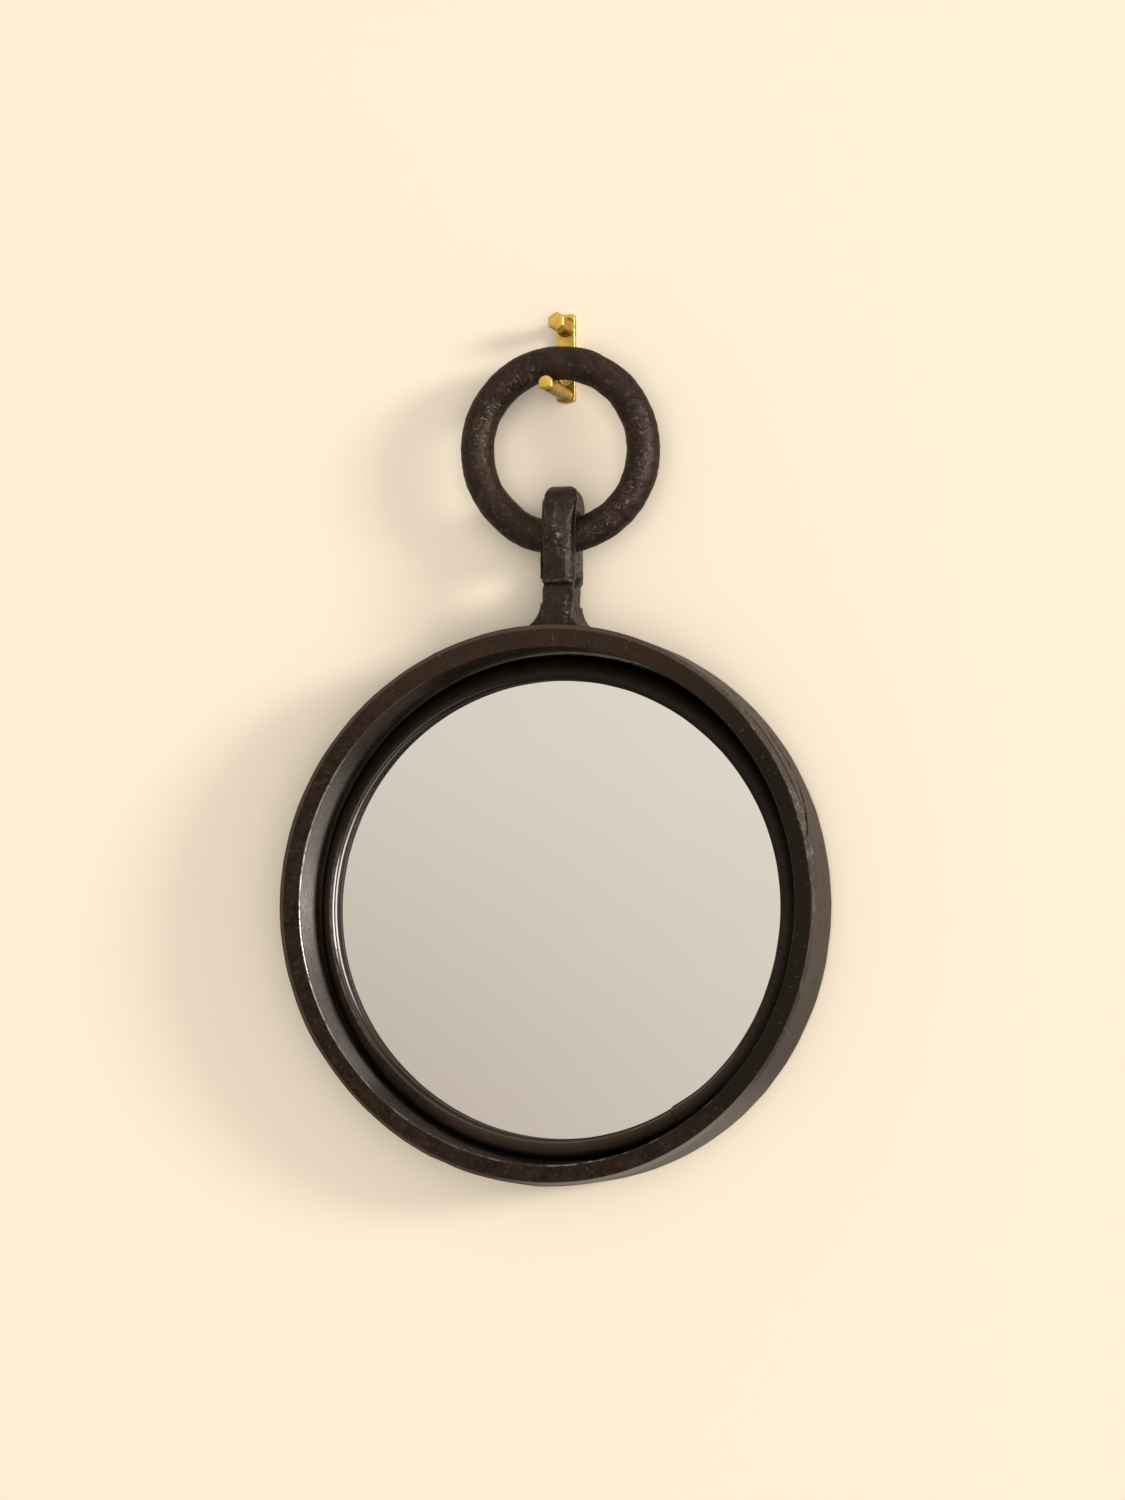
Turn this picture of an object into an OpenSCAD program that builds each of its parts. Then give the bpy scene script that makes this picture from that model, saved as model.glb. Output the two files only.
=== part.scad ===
// A round mirror in a deep hoop of forged iron bar. An eye on top of the hoop hangs from
// a forged ring, and the ring hangs from the lower prong of a brass wall hook.
// The wall is the plane y = 0, the mirror looks along -Y and +Z is up.
// The origin is the middle of the hook's back face. Depths are measured from the
// hoop's front edge towards the wall.

/* [Hoop] */
// Outer radius of the hoop
hoop_r = 165; // [150:1:190]
// Thickness of the hoop's bar, which is the width of the front face
hoop_bar = 12.9; // [11.5:0.1:18]
// Depth of the hoop from its front edge to its back edge
hoop_depth = 45.6; // [44.5:0.1:60]
// Bevel that wear has put on the hoop's four edges
hoop_bevel = 1.2; // [0.4:0.1:2]

/* [Bead ring] */
// Depth at which the crest of the bead lies
bead_crest_depth = 23.3; // [18:0.1:24]
// Radius of the round shoulder that falls from the crest towards the hoop
bead_shoulder = 11; // [9:0.1:11.6]
// Radial width of the bead ring, from the hoop to the edge that frames the glass
bead_w = 15; // [14.4:0.1:22]
// Depth of the front face of the glazing tape, which is the back of the bead's lip
lip_depth = 31; // [29:0.1:32]
// Height and width of the two fine steps on the bead's inner edge
bead_step = 0.9; // [0.5:0.1:1.2]
// Radial bite of the lip over the edge of the glass
lip_bite = 5.9; // [5:0.1:6.4]
// Flat bottom of the groove between the bead's shoulder and the hoop
groove_w = 1; // [0.5:0.1:2]

/* [Glass and backing] */
// Thickness of the soft tape between the lip and the glass
tape_t = 0.8; // [0.5:0.1:1.2]
// Radial width of the soft tape
tape_w = 4.6; // [3:0.1:4.8]
// Thickness of the silvered glass
glass_t = 4; // [3:0.1:5]
// Thickness of the felt pad behind the glass
pad_t = 1.2; // [0.5:0.1:1.5]
// Thickness of the hardboard that closes the back
board_t = 3; // [2:0.1:3.5]

/* [Turn buttons] */
// Angle of the first turn button round the mirror, from the right-hand side
first_button_angle = 45; // [0:5:90]
// Width of a turn button, rounded at both ends
button_w = 7; // [6:0.1:7]
// Distance between the centres of a button's two round ends
button_reach = 14; // [10:0.5:15]
// Thickness of a turn button
button_t = 1.6; // [1:0.1:2]
// Radius of the screw's shank
screw_r = 2; // [1.5:0.1:2.2]
// Radius of the screw's pan head
screw_head_r = 3.6; // [3:0.1:4]
// Height of the screw's head
screw_head_h = 2.1; // [1.5:0.1:2.4]
// Length of thread that the screw has in the bead ring
screw_bite = 6.5; // [4:0.5:7]
// Width of the slot in the screw's head
screw_slot_w = 0.9; // [0.6:0.1:1.2]
// Depth of the slot in the screw's head
screw_slot_h = 0.9; // [0.6:0.1:1.2]

/* [Wall bumpers] */
// Angle of the first bumper round the mirror, from the right-hand side
first_bumper_angle = 90; // [0:5:120]
// Radius of a bumper
bumper_r = 5; // [3:0.1:5.5]
// Thickness of a bumper, which is the gap between the hoop and the wall
bumper_t = 4.5; // [3:0.1:8]

/* [Hanging ring] */
// Diameter of the round bar that the ring is forged from
ring_bar = 20; // [16:0.5:22]
// Radius of the ring at the middle of its bar
ring_r = 52; // [46:0.5:60]

/* [Eye] */
// Width of the eye's bar, side to side
eye_w = 20; // [18:0.5:22]
// Thickness of the eye's front arm and back arm
eye_arm = 12; // [10:0.5:14]
// Thickness of the eye over the ring
eye_crown = 18; // [14:0.5:20]
// Curve radius of the eye's inside, across the width of its bar
eye_saddle = 14; // [12:0.5:18]
// Radius on the eye's upper and upright corners
eye_round = 5; // [3:0.5:6]
// Turn of the eye about the vertical, as it was bent by hand
eye_twist = 5; // [0:1:6]
// Distance from the middle of the ring's lower bar down to the bottom of the eye's slot
slot_drop = 28.5; // [26:0.5:32]
// Iron under the slot, down to the ledge where the front arm's end is welded on
ledge_drop = 1.5; // [0.5:0.5:3]
// Length of the back arm's taper below the ledge
taper_drop = 4; // [2:0.5:6]
// Distance from the middle of the ring's lower bar down to the top of the hoop
eye_rise = 56; // [52:0.5:64]
// Width of the shank under the eye
shank_w = 17.4; // [15:0.2:18]
// Depth of the shank under the eye, front to back
shank_d = 34; // [28:0.5:40]
// Radius of the hollow curve from the shank onto the hoop, side to side
foot_round = 16; // [12:0.5:18]
// Radius of the hollow curve from the shank onto the hoop, front to back
foot_round_fb = 4.5; // [3:0.5:5]
// Thickness that the foot keeps at its outer edge
foot_edge = 0.8; // [0.5:0.1:1.5]
// Bevel on the welded end of the front arm
ledge_bevel = 1.5; // [0.5:0.5:3]

/* [Wall hook] */
// Width of the hook's plate
plate_w = 12; // [10:0.5:16]
// Height of the hook's plate
plate_h = 52; // [50:1:60]
// Thickness of the hook's plate
plate_t = 3.2; // [2.5:0.1:4]
// Corner radius of the hook's plate
plate_round = 2.5; // [1:0.5:4]
// Radius of the lower prong where the ring sits on it
seat_r = 3.6; // [3:0.1:4]
// Distance from the middle of the plate down to the axis of the lower prong
seat_drop = 22; // [21:0.5:24]
// Radius of the lower prong's root
root_r = 4.7; // [4.2:0.1:5]
// Length of the lower prong's root, in front of the plate
root_l = 5; // [3:0.5:8]
// Radius of the lower prong's knob
knob_r = 4.8; // [4.4:0.1:5.5]
// Length of the lower prong's knob
knob_l = 8; // [6:0.5:10]
// Rise of the knob's centre above the lower prong's axis
knob_lift = 0.8; // [0:0.1:1.5]
// Distance from the middle of the plate up to the axis of the upper prong
upper_rise = 17.5; // [16.5:0.5:18]
// Radius of the upper prong's neck
neck_r = 4.4; // [3.5:0.1:5]
// Length of the upper prong's neck, in front of the plate
neck_l = 13; // [8:0.5:20]
// Radius of the upper prong's knob at its top and bottom
top_knob_r = 6; // [5.2:0.1:6.5]
// Width of the upper prong's knob between its two flat sides
top_knob_w = 10.6; // [9:0.2:11]
// Length of the upper prong's knob
top_knob_l = 8; // [6:0.5:10]
// Chamfer round the face of both knobs
knob_chamfer = 1; // [0.5:0.1:1.5]
// Radius of the plate's two screw holes
hole_r = 2.1; // [1.8:0.1:2.4]
// Distance between the plate's two screw holes
hole_spacing = 13; // [12:0.5:14]
// Distance from the middle of the plate down to the middle of the two holes
hole_drop = 5; // [4:0.5:6]
// Radius of the countersink at the plate's front
sink_r = 3.9; // [3:0.1:4]
// Depth of the countersink
sink_t = 1.8; // [1:0.1:2]

/* [Clearances] */
// Gap between the ring and the prong that it hangs on, and between the eye and the ring
hang_gap = 0.3; // [0.2:0.05:0.4]
// Gap between pieces of iron that are set into or onto each other
set_gap = 0.1; // [0.05:0.05:0.2]
// Gap round the glass, the pad and the board in their rebate
glass_gap = 0.4; // [0.2:0.1:0.6]
// Gap above and below a turn button
button_gap = 0.1; // [0.05:0.05:0.2]
// Gap between the board's edge and a button that is turned aside
aside_gap = 0.6; // [0.3:0.1:1]
// Gap round a screw's shank in its holes
screw_gap = 0.07; // [0.03:0.01:0.09]
// Gap between the ring and the lower prong's knob
knob_gap = 1; // [0.6:0.1:2]

/* [Hidden] */
$fn = 96;

// How far a cutting shape runs past what it cuts, and how far joined shapes overlap
cut = 1;
weld_depth = 6;

// Across the wall: the hoop's front edge, and the plane in which everything hangs
front_y = -(bumper_t + hoop_depth);
plane_y = front_y + hoop_depth / 2;

// Heights: the seat on the lower prong, the ring, the ring's lower bar and the mirror
bar_r = ring_bar / 2;
seat_z = -seat_drop;
ring_z = seat_z + seat_r + hang_gap - (ring_r - bar_r);
bar_z = ring_z - ring_r;
mirror_z = bar_z - eye_rise - hoop_r;

// The bead ring and what lies in its rebate
hoop_inner_r = hoop_r - hoop_bar;
bead_r = hoop_inner_r - set_gap;
lip_r = hoop_inner_r - bead_w;
rebate_r = lip_r + lip_bite + glass_gap;
glass_r = rebate_r - glass_gap;
shoulder_r = bead_r - groove_w - bead_shoulder;
shoulder_depth = bead_crest_depth + bead_shoulder;
glass_depth = lip_depth + tape_t;
pad_depth = glass_depth + glass_t;
board_depth = pad_depth + pad_t;
bead_back = board_depth + board_t;
button_depth = bead_back + button_gap;
head_depth = button_depth + button_t + button_gap;

// The turn buttons and bumpers, and the circles that they lie on
button_count = 4;
bumper_count = 3;
pivot_r = glass_r + button_w / 2 + aside_gap;
bumper_pitch_r = hoop_r - hoop_bar / 2;

// The eye's loop, measured from the middle of the ring's lower bar
slot_r = bar_r + hang_gap;
loop_half_d = slot_r + eye_arm;
crown_z = slot_r + eye_crown - loop_half_d;
slot_low_z = slot_r - slot_drop;
ledge_z = -slot_drop - ledge_drop;
taper_top_z = -bar_r;
taper_low_z = ledge_z - taper_drop;
shank_low_z = -eye_rise - weld_depth;
shank_h = ledge_z + eye_round - shank_low_z;

// The wall hook's lower prong reaches past the ring
knob_y = plane_y - bar_r - knob_gap;

iron = "#332a27";
dark_iron = "#2a2320";
brass = "#c9962f";
steel = "#9a9a98";

// Places children drawn with their depth along Z at the mirror's centre, front edge first
module at_mirror() {
    translate([0, front_y, mirror_z]) rotate([-90, 0, 0]) children();
}

// Turns a profile of [radius, depth] round the mirror's axis
module turned() {
    at_mirror() rotate_extrude($fn = 180) children();
}

// A disc on the mirror's axis
module disc(r, depth, t) {
    at_mirror() translate([0, 0, depth]) cylinder(r = r, h = t, $fn = 180);
}

// Places children at an angle on a circle round the mirror's axis, +X pointing outwards
module on_circle(r, angle) {
    at_mirror() rotate([0, 0, -angle]) translate([r, 0, 0]) children();
}

// A rectangle with round corners, centred
module round_rect(w, h, r) {
    square([w - 2 * r, h], center = true);
    square([w, h - 2 * r], center = true);
    for (sx = [-1, 1], sy = [-1, 1])
        translate([sx * (w / 2 - r), sy * (h / 2 - r)]) circle(r);
}

// Draws children given as [x, z] and gives them a depth along Y
module across_y(depth) {
    translate([0, depth / 2, 0]) rotate([90, 0, 0]) linear_extrude(depth) children();
}

// Draws children given as [y, z] and gives them a width along X
module across_x(width) {
    translate([-width / 2, 0, 0]) rotate([90, 0, 90]) linear_extrude(width) children();
}

// The forged hoop, a flat bar bent edge to edge and welded
module outer_hoop() {
    b = hoop_bevel;
    color(iron) turned() polygon([
        [hoop_inner_r + b, 0], [hoop_r - b, 0], [hoop_r, b],
        [hoop_r, hoop_depth - b], [hoop_r - b, hoop_depth],
        [hoop_inner_r + b, hoop_depth], [hoop_inner_r, hoop_depth - b], [hoop_inner_r, b]
    ]);
}

// The profile of the bead: fine steps at the glass, a round shoulder and a square back
module bead_profile() {
    step_r = lip_r + bead_step;
    crest_r = step_r + bead_step;
    arc = [for (a = [90:-5:0])
        [shoulder_r + bead_shoulder * cos(a), shoulder_depth - bead_shoulder * sin(a)]];
    polygon(concat(
        [[lip_r, lip_depth], [lip_r, bead_crest_depth + 2.5 * bead_step],
         [step_r, bead_crest_depth + 2 * bead_step], [step_r, bead_crest_depth + bead_step],
         [crest_r, bead_crest_depth]],
        arc,
        [[bead_r, shoulder_depth], [bead_r, bead_back], [rebate_r, bead_back],
         [rebate_r, lip_depth]]));
}

// The bead ring, welded inside the hoop, with tapped holes for the buttons' screws
module bead_ring() {
    color(dark_iron) difference() {
        turned() bead_profile();
        for (i = [1:button_count])
            on_circle(pivot_r, button_angle(i))
                translate([0, 0, bead_back - screw_bite - set_gap])
                    cylinder(r = screw_r + screw_gap, h = screw_bite + set_gap + cut);
    }
}

// Soft tape between the lip and the glass
module glazing_tape() {
    color("black") turned()
        translate([glass_r - tape_w, lip_depth]) square([tape_w, tape_t]);
}

module mirror_glass() {
    color("#cfc6bd") disc(glass_r, glass_depth, glass_t);
}

module backing_pad() {
    color("#5c5a57") disc(glass_r, pad_depth, pad_t);
}

module backing_board() {
    color("#8a6a48") disc(glass_r, board_depth, board_t);
}

function button_angle(i) = first_button_angle + (i - 1) * 360 / button_count;

// A steel button that turns on its screw and holds the board in
module turn_button(i) {
    color(steel) on_circle(pivot_r, button_angle(i)) translate([0, 0, button_depth])
        linear_extrude(button_t) difference() {
            union() {
                circle(button_w / 2);
                translate([-button_reach, 0]) circle(button_w / 2);
                translate([-button_reach, -button_w / 2]) square([button_reach, button_w]);
            }
            circle(screw_r + screw_gap);
        }
}

// The slotted screw that a turn button pivots on
module button_screw(i) {
    color(steel) on_circle(pivot_r, button_angle(i)) {
        translate([0, 0, bead_back - screw_bite])
            cylinder(r = screw_r, h = screw_bite + head_depth - bead_back + cut);
        difference() {
            translate([0, 0, head_depth]) cylinder(r = screw_head_r, h = screw_head_h);
            translate([-screw_head_r - cut, -screw_slot_w / 2, head_depth + screw_head_h - screw_slot_h])
                cube([2 * (screw_head_r + cut), screw_slot_w, screw_slot_h + cut]);
        }
    }
}

// A rubber bumper on the hoop's back edge
module wall_bumper(i) {
    color("#22201f") on_circle(bumper_pitch_r, first_bumper_angle + (i - 1) * 360 / bumper_count)
        translate([0, 0, hoop_depth]) cylinder(r = bumper_r, h = bumper_t);
}

// The ring of round bar
module hanging_ring() {
    color(iron) translate([0, plane_y, ring_z]) rotate([90, 0, 0])
        rotate_extrude($fn = 144) translate([ring_r, 0]) circle(bar_r);
}

// The inside of the eye across its bar: narrow in the middle, wider at both faces
module slot_edge() {
    w = eye_w + 2 * cut;
    difference() {
        translate([0, -w / 2]) square([slot_r + eye_saddle / 3, w]);
        translate([slot_r + eye_saddle, 0]) circle(eye_saddle);
    }
}

module slot_end() {
    rotate([0, 90, 0]) rotate_extrude() slot_edge();
}

// The slot that the ring's lower bar runs through, round at both ends
module eye_slot() {
    slot_end();
    translate([0, 0, slot_low_z]) slot_end();
    translate([0, 0, slot_low_z]) linear_extrude(-slot_low_z) for (side = [0, 180])
        rotate(90 + side) slot_edge();
}

// The eye seen from the side, as [y, z]: crown, arms, ledge at the front, taper at the back
module eye_side() {
    translate([0, crown_z]) circle(loop_half_d);
    polygon([
        [-loop_half_d, crown_z], [-loop_half_d, ledge_z + ledge_bevel],
        [-loop_half_d + ledge_bevel, ledge_z], [-shank_d / 2, ledge_z],
        [-shank_d / 2, shank_low_z], [shank_d / 2, shank_low_z], [shank_d / 2, taper_low_z],
        [loop_half_d, taper_top_z], [loop_half_d, crown_z]
    ]);
}

// The eye seen from the front, as [x, z]
module eye_front() {
    top_z = crown_z + loop_half_d;
    translate([0, (top_z + ledge_z) / 2]) round_rect(eye_w, top_z - ledge_z, eye_round);
    translate([-shank_w / 2, shank_low_z]) square([shank_w, shank_h]);
}

// The foot seen from the front: hollow curves from the shank down onto the hoop
module foot_front() {
    edge_r = hoop_r + foot_edge;
    curve_x = shank_w / 2 + foot_round;
    curve_z = sqrt(pow(edge_r + foot_round, 2) - pow(curve_x, 2)) - hoop_r - eye_rise;
    foot_x = curve_x * edge_r / (edge_r + foot_round);
    difference() {
        translate([-foot_x, shank_low_z]) square([2 * foot_x, curve_z - shank_low_z]);
        for (side = [-1, 1]) translate([side * curve_x, curve_z]) circle(foot_round);
    }
}

// The foot seen from the side
module foot_side() {
    half = shank_d / 2 + foot_round_fb;
    curve_z = foot_edge + foot_round_fb - eye_rise;
    difference() {
        translate([-half, shank_low_z]) square([2 * half, eye_rise]);
        for (side = [-1, 1]) translate([side * half, 0]) {
            translate([0, curve_z]) circle(foot_round_fb);
            translate([-foot_round_fb, curve_z]) square([2 * foot_round_fb, eye_rise]);
        }
    }
}

// The eye: bar bent over the ring, lapped back onto its own shank and welded to the hoop
module eye() {
    deep = 2 * loop_half_d;
    color(iron) difference() {
        translate([0, plane_y, bar_z]) {
            rotate([0, 0, eye_twist]) difference() {
                intersection() {
                    across_x(eye_w) eye_side();
                    across_y(deep) eye_front();
                    translate([0, 0, shank_low_z])
                        linear_extrude(crown_z + loop_half_d - shank_low_z)
                            round_rect(eye_w, deep, eye_round);
                }
                eye_slot();
            }
            intersection() {
                across_y(deep) foot_front();
                across_x(2 * (shank_w + foot_round)) foot_side();
            }
        }
        disc(hoop_r + set_gap, -cut, hoop_depth + 2 * cut);
    }
}

// A round bar along -Y from y to y - l, chamfered at its front end
module stub(r, y, z, l, chamfer = 0) {
    translate([0, y, z]) rotate([90, 0, 0]) rotate_extrude() polygon([
        [0, 0], [r, 0], [r, l - chamfer], [r - chamfer, l], [0, l]
    ]);
}

// The brass wall hook: a plate with a lower prong for the ring and a short upper prong
module wall_hook() {
    color(brass) difference() {
        union() {
            rotate([90, 0, 0]) linear_extrude(plate_t) round_rect(plate_w, plate_h, plate_round);
            stub(seat_r, -plate_t / 2, seat_z, -plate_t / 2 - knob_y + cut);
            stub(root_r, -plate_t / 2, seat_z, plate_t / 2 + root_l, knob_chamfer);
            stub(knob_r, knob_y, seat_z + knob_lift, knob_l, knob_chamfer);
            stub(neck_r, -plate_t / 2, upper_rise, plate_t / 2 + neck_l + cut);
            intersection() {
                stub(top_knob_r, -plate_t - neck_l, upper_rise, top_knob_l, knob_chamfer);
                translate([-top_knob_w / 2, -plate_t - neck_l - top_knob_l, upper_rise - top_knob_r])
                    cube([top_knob_w, top_knob_l, 2 * top_knob_r]);
            }
        }
        for (side = [-1, 1]) translate([0, 0, side * hole_spacing / 2 - hole_drop]) rotate([90, 0, 0]) {
            translate([0, 0, -cut]) cylinder(r = hole_r, h = plate_t + 2 * cut);
            translate([0, 0, plate_t - sink_t]) cylinder(r1 = hole_r, r2 = sink_r, h = sink_t);
        }
    }
}

wall_hook();
hanging_ring();
eye();
outer_hoop();
bead_ring();
glazing_tape();
mirror_glass();
backing_pad();
backing_board();
turn_button(1);  // turn_button_1
turn_button(2);  // turn_button_2
turn_button(3);  // turn_button_3
turn_button(4);  // turn_button_4
button_screw(1);  // button_screw_1
button_screw(2);  // button_screw_2
button_screw(3);  // button_screw_3
button_screw(4);  // button_screw_4
wall_bumper(1);  // wall_bumper_1
wall_bumper(2);  // wall_bumper_2
wall_bumper(3);  // wall_bumper_3
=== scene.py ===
"""A round wrought iron mirror that hangs from a forged ring on a brass wall hook."""
import math

import bmesh
import bpy
import numpy as np
from mathutils import Matrix, Vector

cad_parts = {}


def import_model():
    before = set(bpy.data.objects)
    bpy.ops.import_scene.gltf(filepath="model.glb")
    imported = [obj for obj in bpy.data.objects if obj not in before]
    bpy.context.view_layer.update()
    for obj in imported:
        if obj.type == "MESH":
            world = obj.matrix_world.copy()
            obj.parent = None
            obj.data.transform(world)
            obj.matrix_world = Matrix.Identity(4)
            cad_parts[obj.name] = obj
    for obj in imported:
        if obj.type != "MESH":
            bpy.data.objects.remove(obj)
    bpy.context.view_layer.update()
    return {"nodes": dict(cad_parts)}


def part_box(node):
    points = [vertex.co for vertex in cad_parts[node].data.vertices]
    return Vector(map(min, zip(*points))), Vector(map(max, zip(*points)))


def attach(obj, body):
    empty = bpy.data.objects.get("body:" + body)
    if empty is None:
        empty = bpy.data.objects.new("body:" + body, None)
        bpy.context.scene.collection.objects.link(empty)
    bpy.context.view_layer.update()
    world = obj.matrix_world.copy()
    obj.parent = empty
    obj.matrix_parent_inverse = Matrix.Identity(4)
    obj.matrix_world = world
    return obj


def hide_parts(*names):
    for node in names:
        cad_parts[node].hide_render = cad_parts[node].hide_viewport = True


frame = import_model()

MM = 0.001

# Sizes and places that the frame gives
hoop_low, hoop_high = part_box("outer_hoop")
bead_low, bead_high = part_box("bead_ring")
glass_low, glass_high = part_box("mirror_glass")
tape_low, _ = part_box("glazing_tape")
ring_low, ring_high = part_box("hanging_ring")
_, eye_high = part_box("eye")
hook_low, hook_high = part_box("wall_hook")
bumper_low, bumper_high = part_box("wall_bumper_1")
FRONT_Y = hoop_low.y
PLANE_Y = (ring_low.y + ring_high.y) / 2
HOOP_R = (hoop_high.x - hoop_low.x) / 2
HOOP_DEPTH = hoop_high.y - hoop_low.y
MIRROR_Z = (hoop_low.z + hoop_high.z) / 2
AXIS = Vector((0, FRONT_Y, MIRROR_Z))
BEAD_R = (bead_high.x - bead_low.x) / 2
CREST_DEPTH = bead_low.y - FRONT_Y
BEAD_BACK = bead_high.y - FRONT_Y
LIP_DEPTH = tape_low.y - FRONT_Y
GLASS_R = (glass_high.x - glass_low.x) / 2
RING_BAR_R = (ring_high.y - ring_low.y) / 2
RING_R = (ring_high.x - ring_low.x) / 2 - RING_BAR_R
RING_Z = (ring_low.z + ring_high.z) / 2
EYE_Z = RING_Z - RING_R

# Driving sizes that no box gives
HOOP_BAR = 12.9 * MM
HOOP_IN = HOOP_R - HOOP_BAR
BEAD_STEP = 0.9 * MM
BEAD_DROP = 2.8 * MM
BEAD_SHOULDER = 11 * MM
GROOVE = 1 * MM
LIP_R = HOOP_IN - 15 * MM
LAP_ANGLE = math.radians(300.6)
ROUND_SEGMENTS = 720
RING_SEGMENTS = 400
PLATE_T = 3.2 * MM
TOP_PRONG_Z = 20 * MM
SEAT_Z = -22 * MM
BUTTON_W = 7 * MM
BUTTON_REACH = 14 * MM
BUTTON_PIVOT_R = GLASS_R + BUTTON_W / 2 + 0.6 * MM
SCREW_R = 2 * MM
SCREW_HEAD_R = 3.6 * MM
SCREW_HEAD_H = 2.1 * MM

DAYLIGHT = (1.0, 0.985, 0.96)

# The photo shows the ring and the eye a little to the right, and the eye twisted
RING_CENTRE = Vector((3.1 * MM, PLANE_Y, RING_Z))
EYE_ASIDE = 4.6 * MM
EYE_TWIST = math.radians(5)
EYE_SHOULDER = 14 * MM
# Hand-bent bar is a little out of round: for each wave count, its height in mm and a direction in degrees
HOOP_WAVES = ((0, 0.4, 0), (1, 1.0, 109), (2, 0.4, -135), (3, 0.75, 174))
RING_WAVES = ((0, 0.2, 0), (1, 1.1, 63), (2, 0.85, -103))


class Value:
    """A socket of a node tree. Arithmetic on it adds Math nodes."""

    def __init__(self, nodes, socket):
        self.nodes = nodes
        self.socket = socket

    def math(self, operation, *others):
        return self.nodes.math(operation, self, *others)

    def __neg__(self):
        return self * -1

    def __abs__(self):
        return self.math("ABSOLUTE")

    def rise(self, low, high):
        """0 below low, 1 above high and a soft step between; low above high turns it round."""
        return self.nodes.add(
            "ShaderNodeMapRange",
            {"interpolation_type": "SMOOTHSTEP"},
            {"Value": self, "From Min": low, "From Max": high},
        )

    def near(self, middle, reach):
        """1 at middle and 0 from reach away."""
        return abs(self - middle).rise(reach, 0)

    def over(self, floor=0.0):
        """The value, or floor where it is less."""
        return self.math("MAXIMUM", floor)


def operator(operation, swapped):
    """An arithmetic method of Value. The swapped one has the plain number on its left."""
    if swapped:
        return lambda value, other: value.nodes.math(operation, other, value)
    return lambda value, other: value.nodes.math(operation, value, other)


OPERATORS = {"add": "ADD", "sub": "SUBTRACT", "mul": "MULTIPLY", "truediv": "DIVIDE", "pow": "POWER"}
for word, node_operation in OPERATORS.items():
    setattr(Value, f"__{word}__", operator(node_operation, False))
    setattr(Value, f"__r{word}__", operator(node_operation, True))


class Nodes:
    """Adds nodes to one tree, which may be a material's."""

    def __init__(self, tree, material=None):
        self.tree = tree
        self.material = material
        self.place = None
        tree.nodes.clear()

    def add(self, kind, settings=None, inputs=None, out=0):
        """Adds a node of a kind, sets it, feeds its sockets and returns one of its outputs."""
        node = self.tree.nodes.new(kind)
        for name, value in (settings or {}).items():
            setattr(node, name, value)
        for key, value in (inputs or {}).items():
            self.feed(node.inputs[key], value)
        return Value(self, node.outputs[out]) if len(node.outputs) else node

    def feed(self, socket, value):
        if isinstance(value, Value):
            self.tree.links.new(value.socket, socket)
        elif socket.type == "RGBA":
            socket.default_value = (*value, 1)
        else:
            socket.default_value = value

    def math(self, operation, *values):
        return self.add("ShaderNodeMath", {"operation": operation}, dict(enumerate(values)))

    def vector(self, operation, first, second, out=0):
        return self.add("ShaderNodeVectorMath", {"operation": operation}, {0: first, 1: second}, out)

    def mix(self, mask, first, second):
        """The first colour where the mask is 0 and the second where it is 1."""
        return self.add("ShaderNodeMix", {"data_type": "RGBA"}, {0: mask, 6: first, 7: second}, out=2)

    def layers(self, colour, *coats):
        """A colour under coats of others, each a mask and the colour that it lays on."""
        for mask, over in coats:
            colour = self.mix(mask, colour, over)
        return colour

    def mix_shader(self, mask, first, second):
        return self.add("ShaderNodeMixShader", None, {0: mask, 1: first, 2: second})

    def split(self, vector):
        """The three parts of a vector."""
        node = self.tree.nodes.new("ShaderNodeSeparateXYZ")
        self.feed(node.inputs[0], vector)
        return [Value(self, socket) for socket in node.outputs]

    def join(self, x, y, z):
        return self.add("ShaderNodeCombineXYZ", None, {0: x, 1: y, 2: z})

    def stored(self, name):
        """A number stored on the mesh."""
        return self.add("ShaderNodeAttribute", {"attribute_name": name}, out="Fac")

    def noise(self, size, seed, detail, roughness=0.5, place=None):
        """Soft noise from 0 to 1 whose spots are about size mm across."""
        place, scale = place or self.place, 1 / (size * MM)
        return self.add(
            "ShaderNodeTexNoise",
            {"noise_dimensions": "4D"},
            {"Vector": place, "W": seed, "Scale": scale, "Detail": detail, "Roughness": roughness},
        )


def tone(red, green, blue):
    """A colour of 0 to 255 as the picture shows it, in the linear values that shaders take."""
    shares = [c / 255 for c in (red, green, blue)]
    return tuple(s / 12.92 if s < 0.04045 else ((s + 0.055) / 1.055) ** 2.4 for s in shares)


def new_finish(name):
    """The nodes of a new material, whose place is the place on the object."""
    material = bpy.data.materials.new(name)
    material.use_nodes = True
    nodes = Nodes(material.node_tree, material)
    nodes.place = nodes.add("ShaderNodeTexCoord", out="Object")
    return nodes


def surface(nodes, colour, roughness, height, metal, **sockets):
    """Ends a material in a Principled shader and returns it. height is a bump in metres."""
    bump = nodes.add("ShaderNodeBump", None, {"Distance": 1.0, "Height": height})
    inputs = {"Base Color": colour, "Roughness": roughness, "Metallic": metal, "Normal": bump}
    inputs.update({name.replace("_", " "): value for name, value in sockets.items()})
    shader = nodes.add("ShaderNodeBsdfPrincipled", None, inputs)
    nodes.add("ShaderNodeOutputMaterial", None, {"Surface": shader})
    return nodes.material


# Iron

IRON = {
    "dark": tone(27, 19, 13),
    "brown": tone(43, 30, 22),
    "violet": tone(44, 33, 33),
    "red": tone(78, 42, 36),
    "dust": tone(86, 70, 57),
    "deep": tone(8, 5, 3),
    "speck": tone(146, 128, 108),
    "worn": tone(176, 168, 158),
}
# The shine of wax and scale is warmer than the room
WARM = (1.0, 0.86, 0.72)


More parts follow.
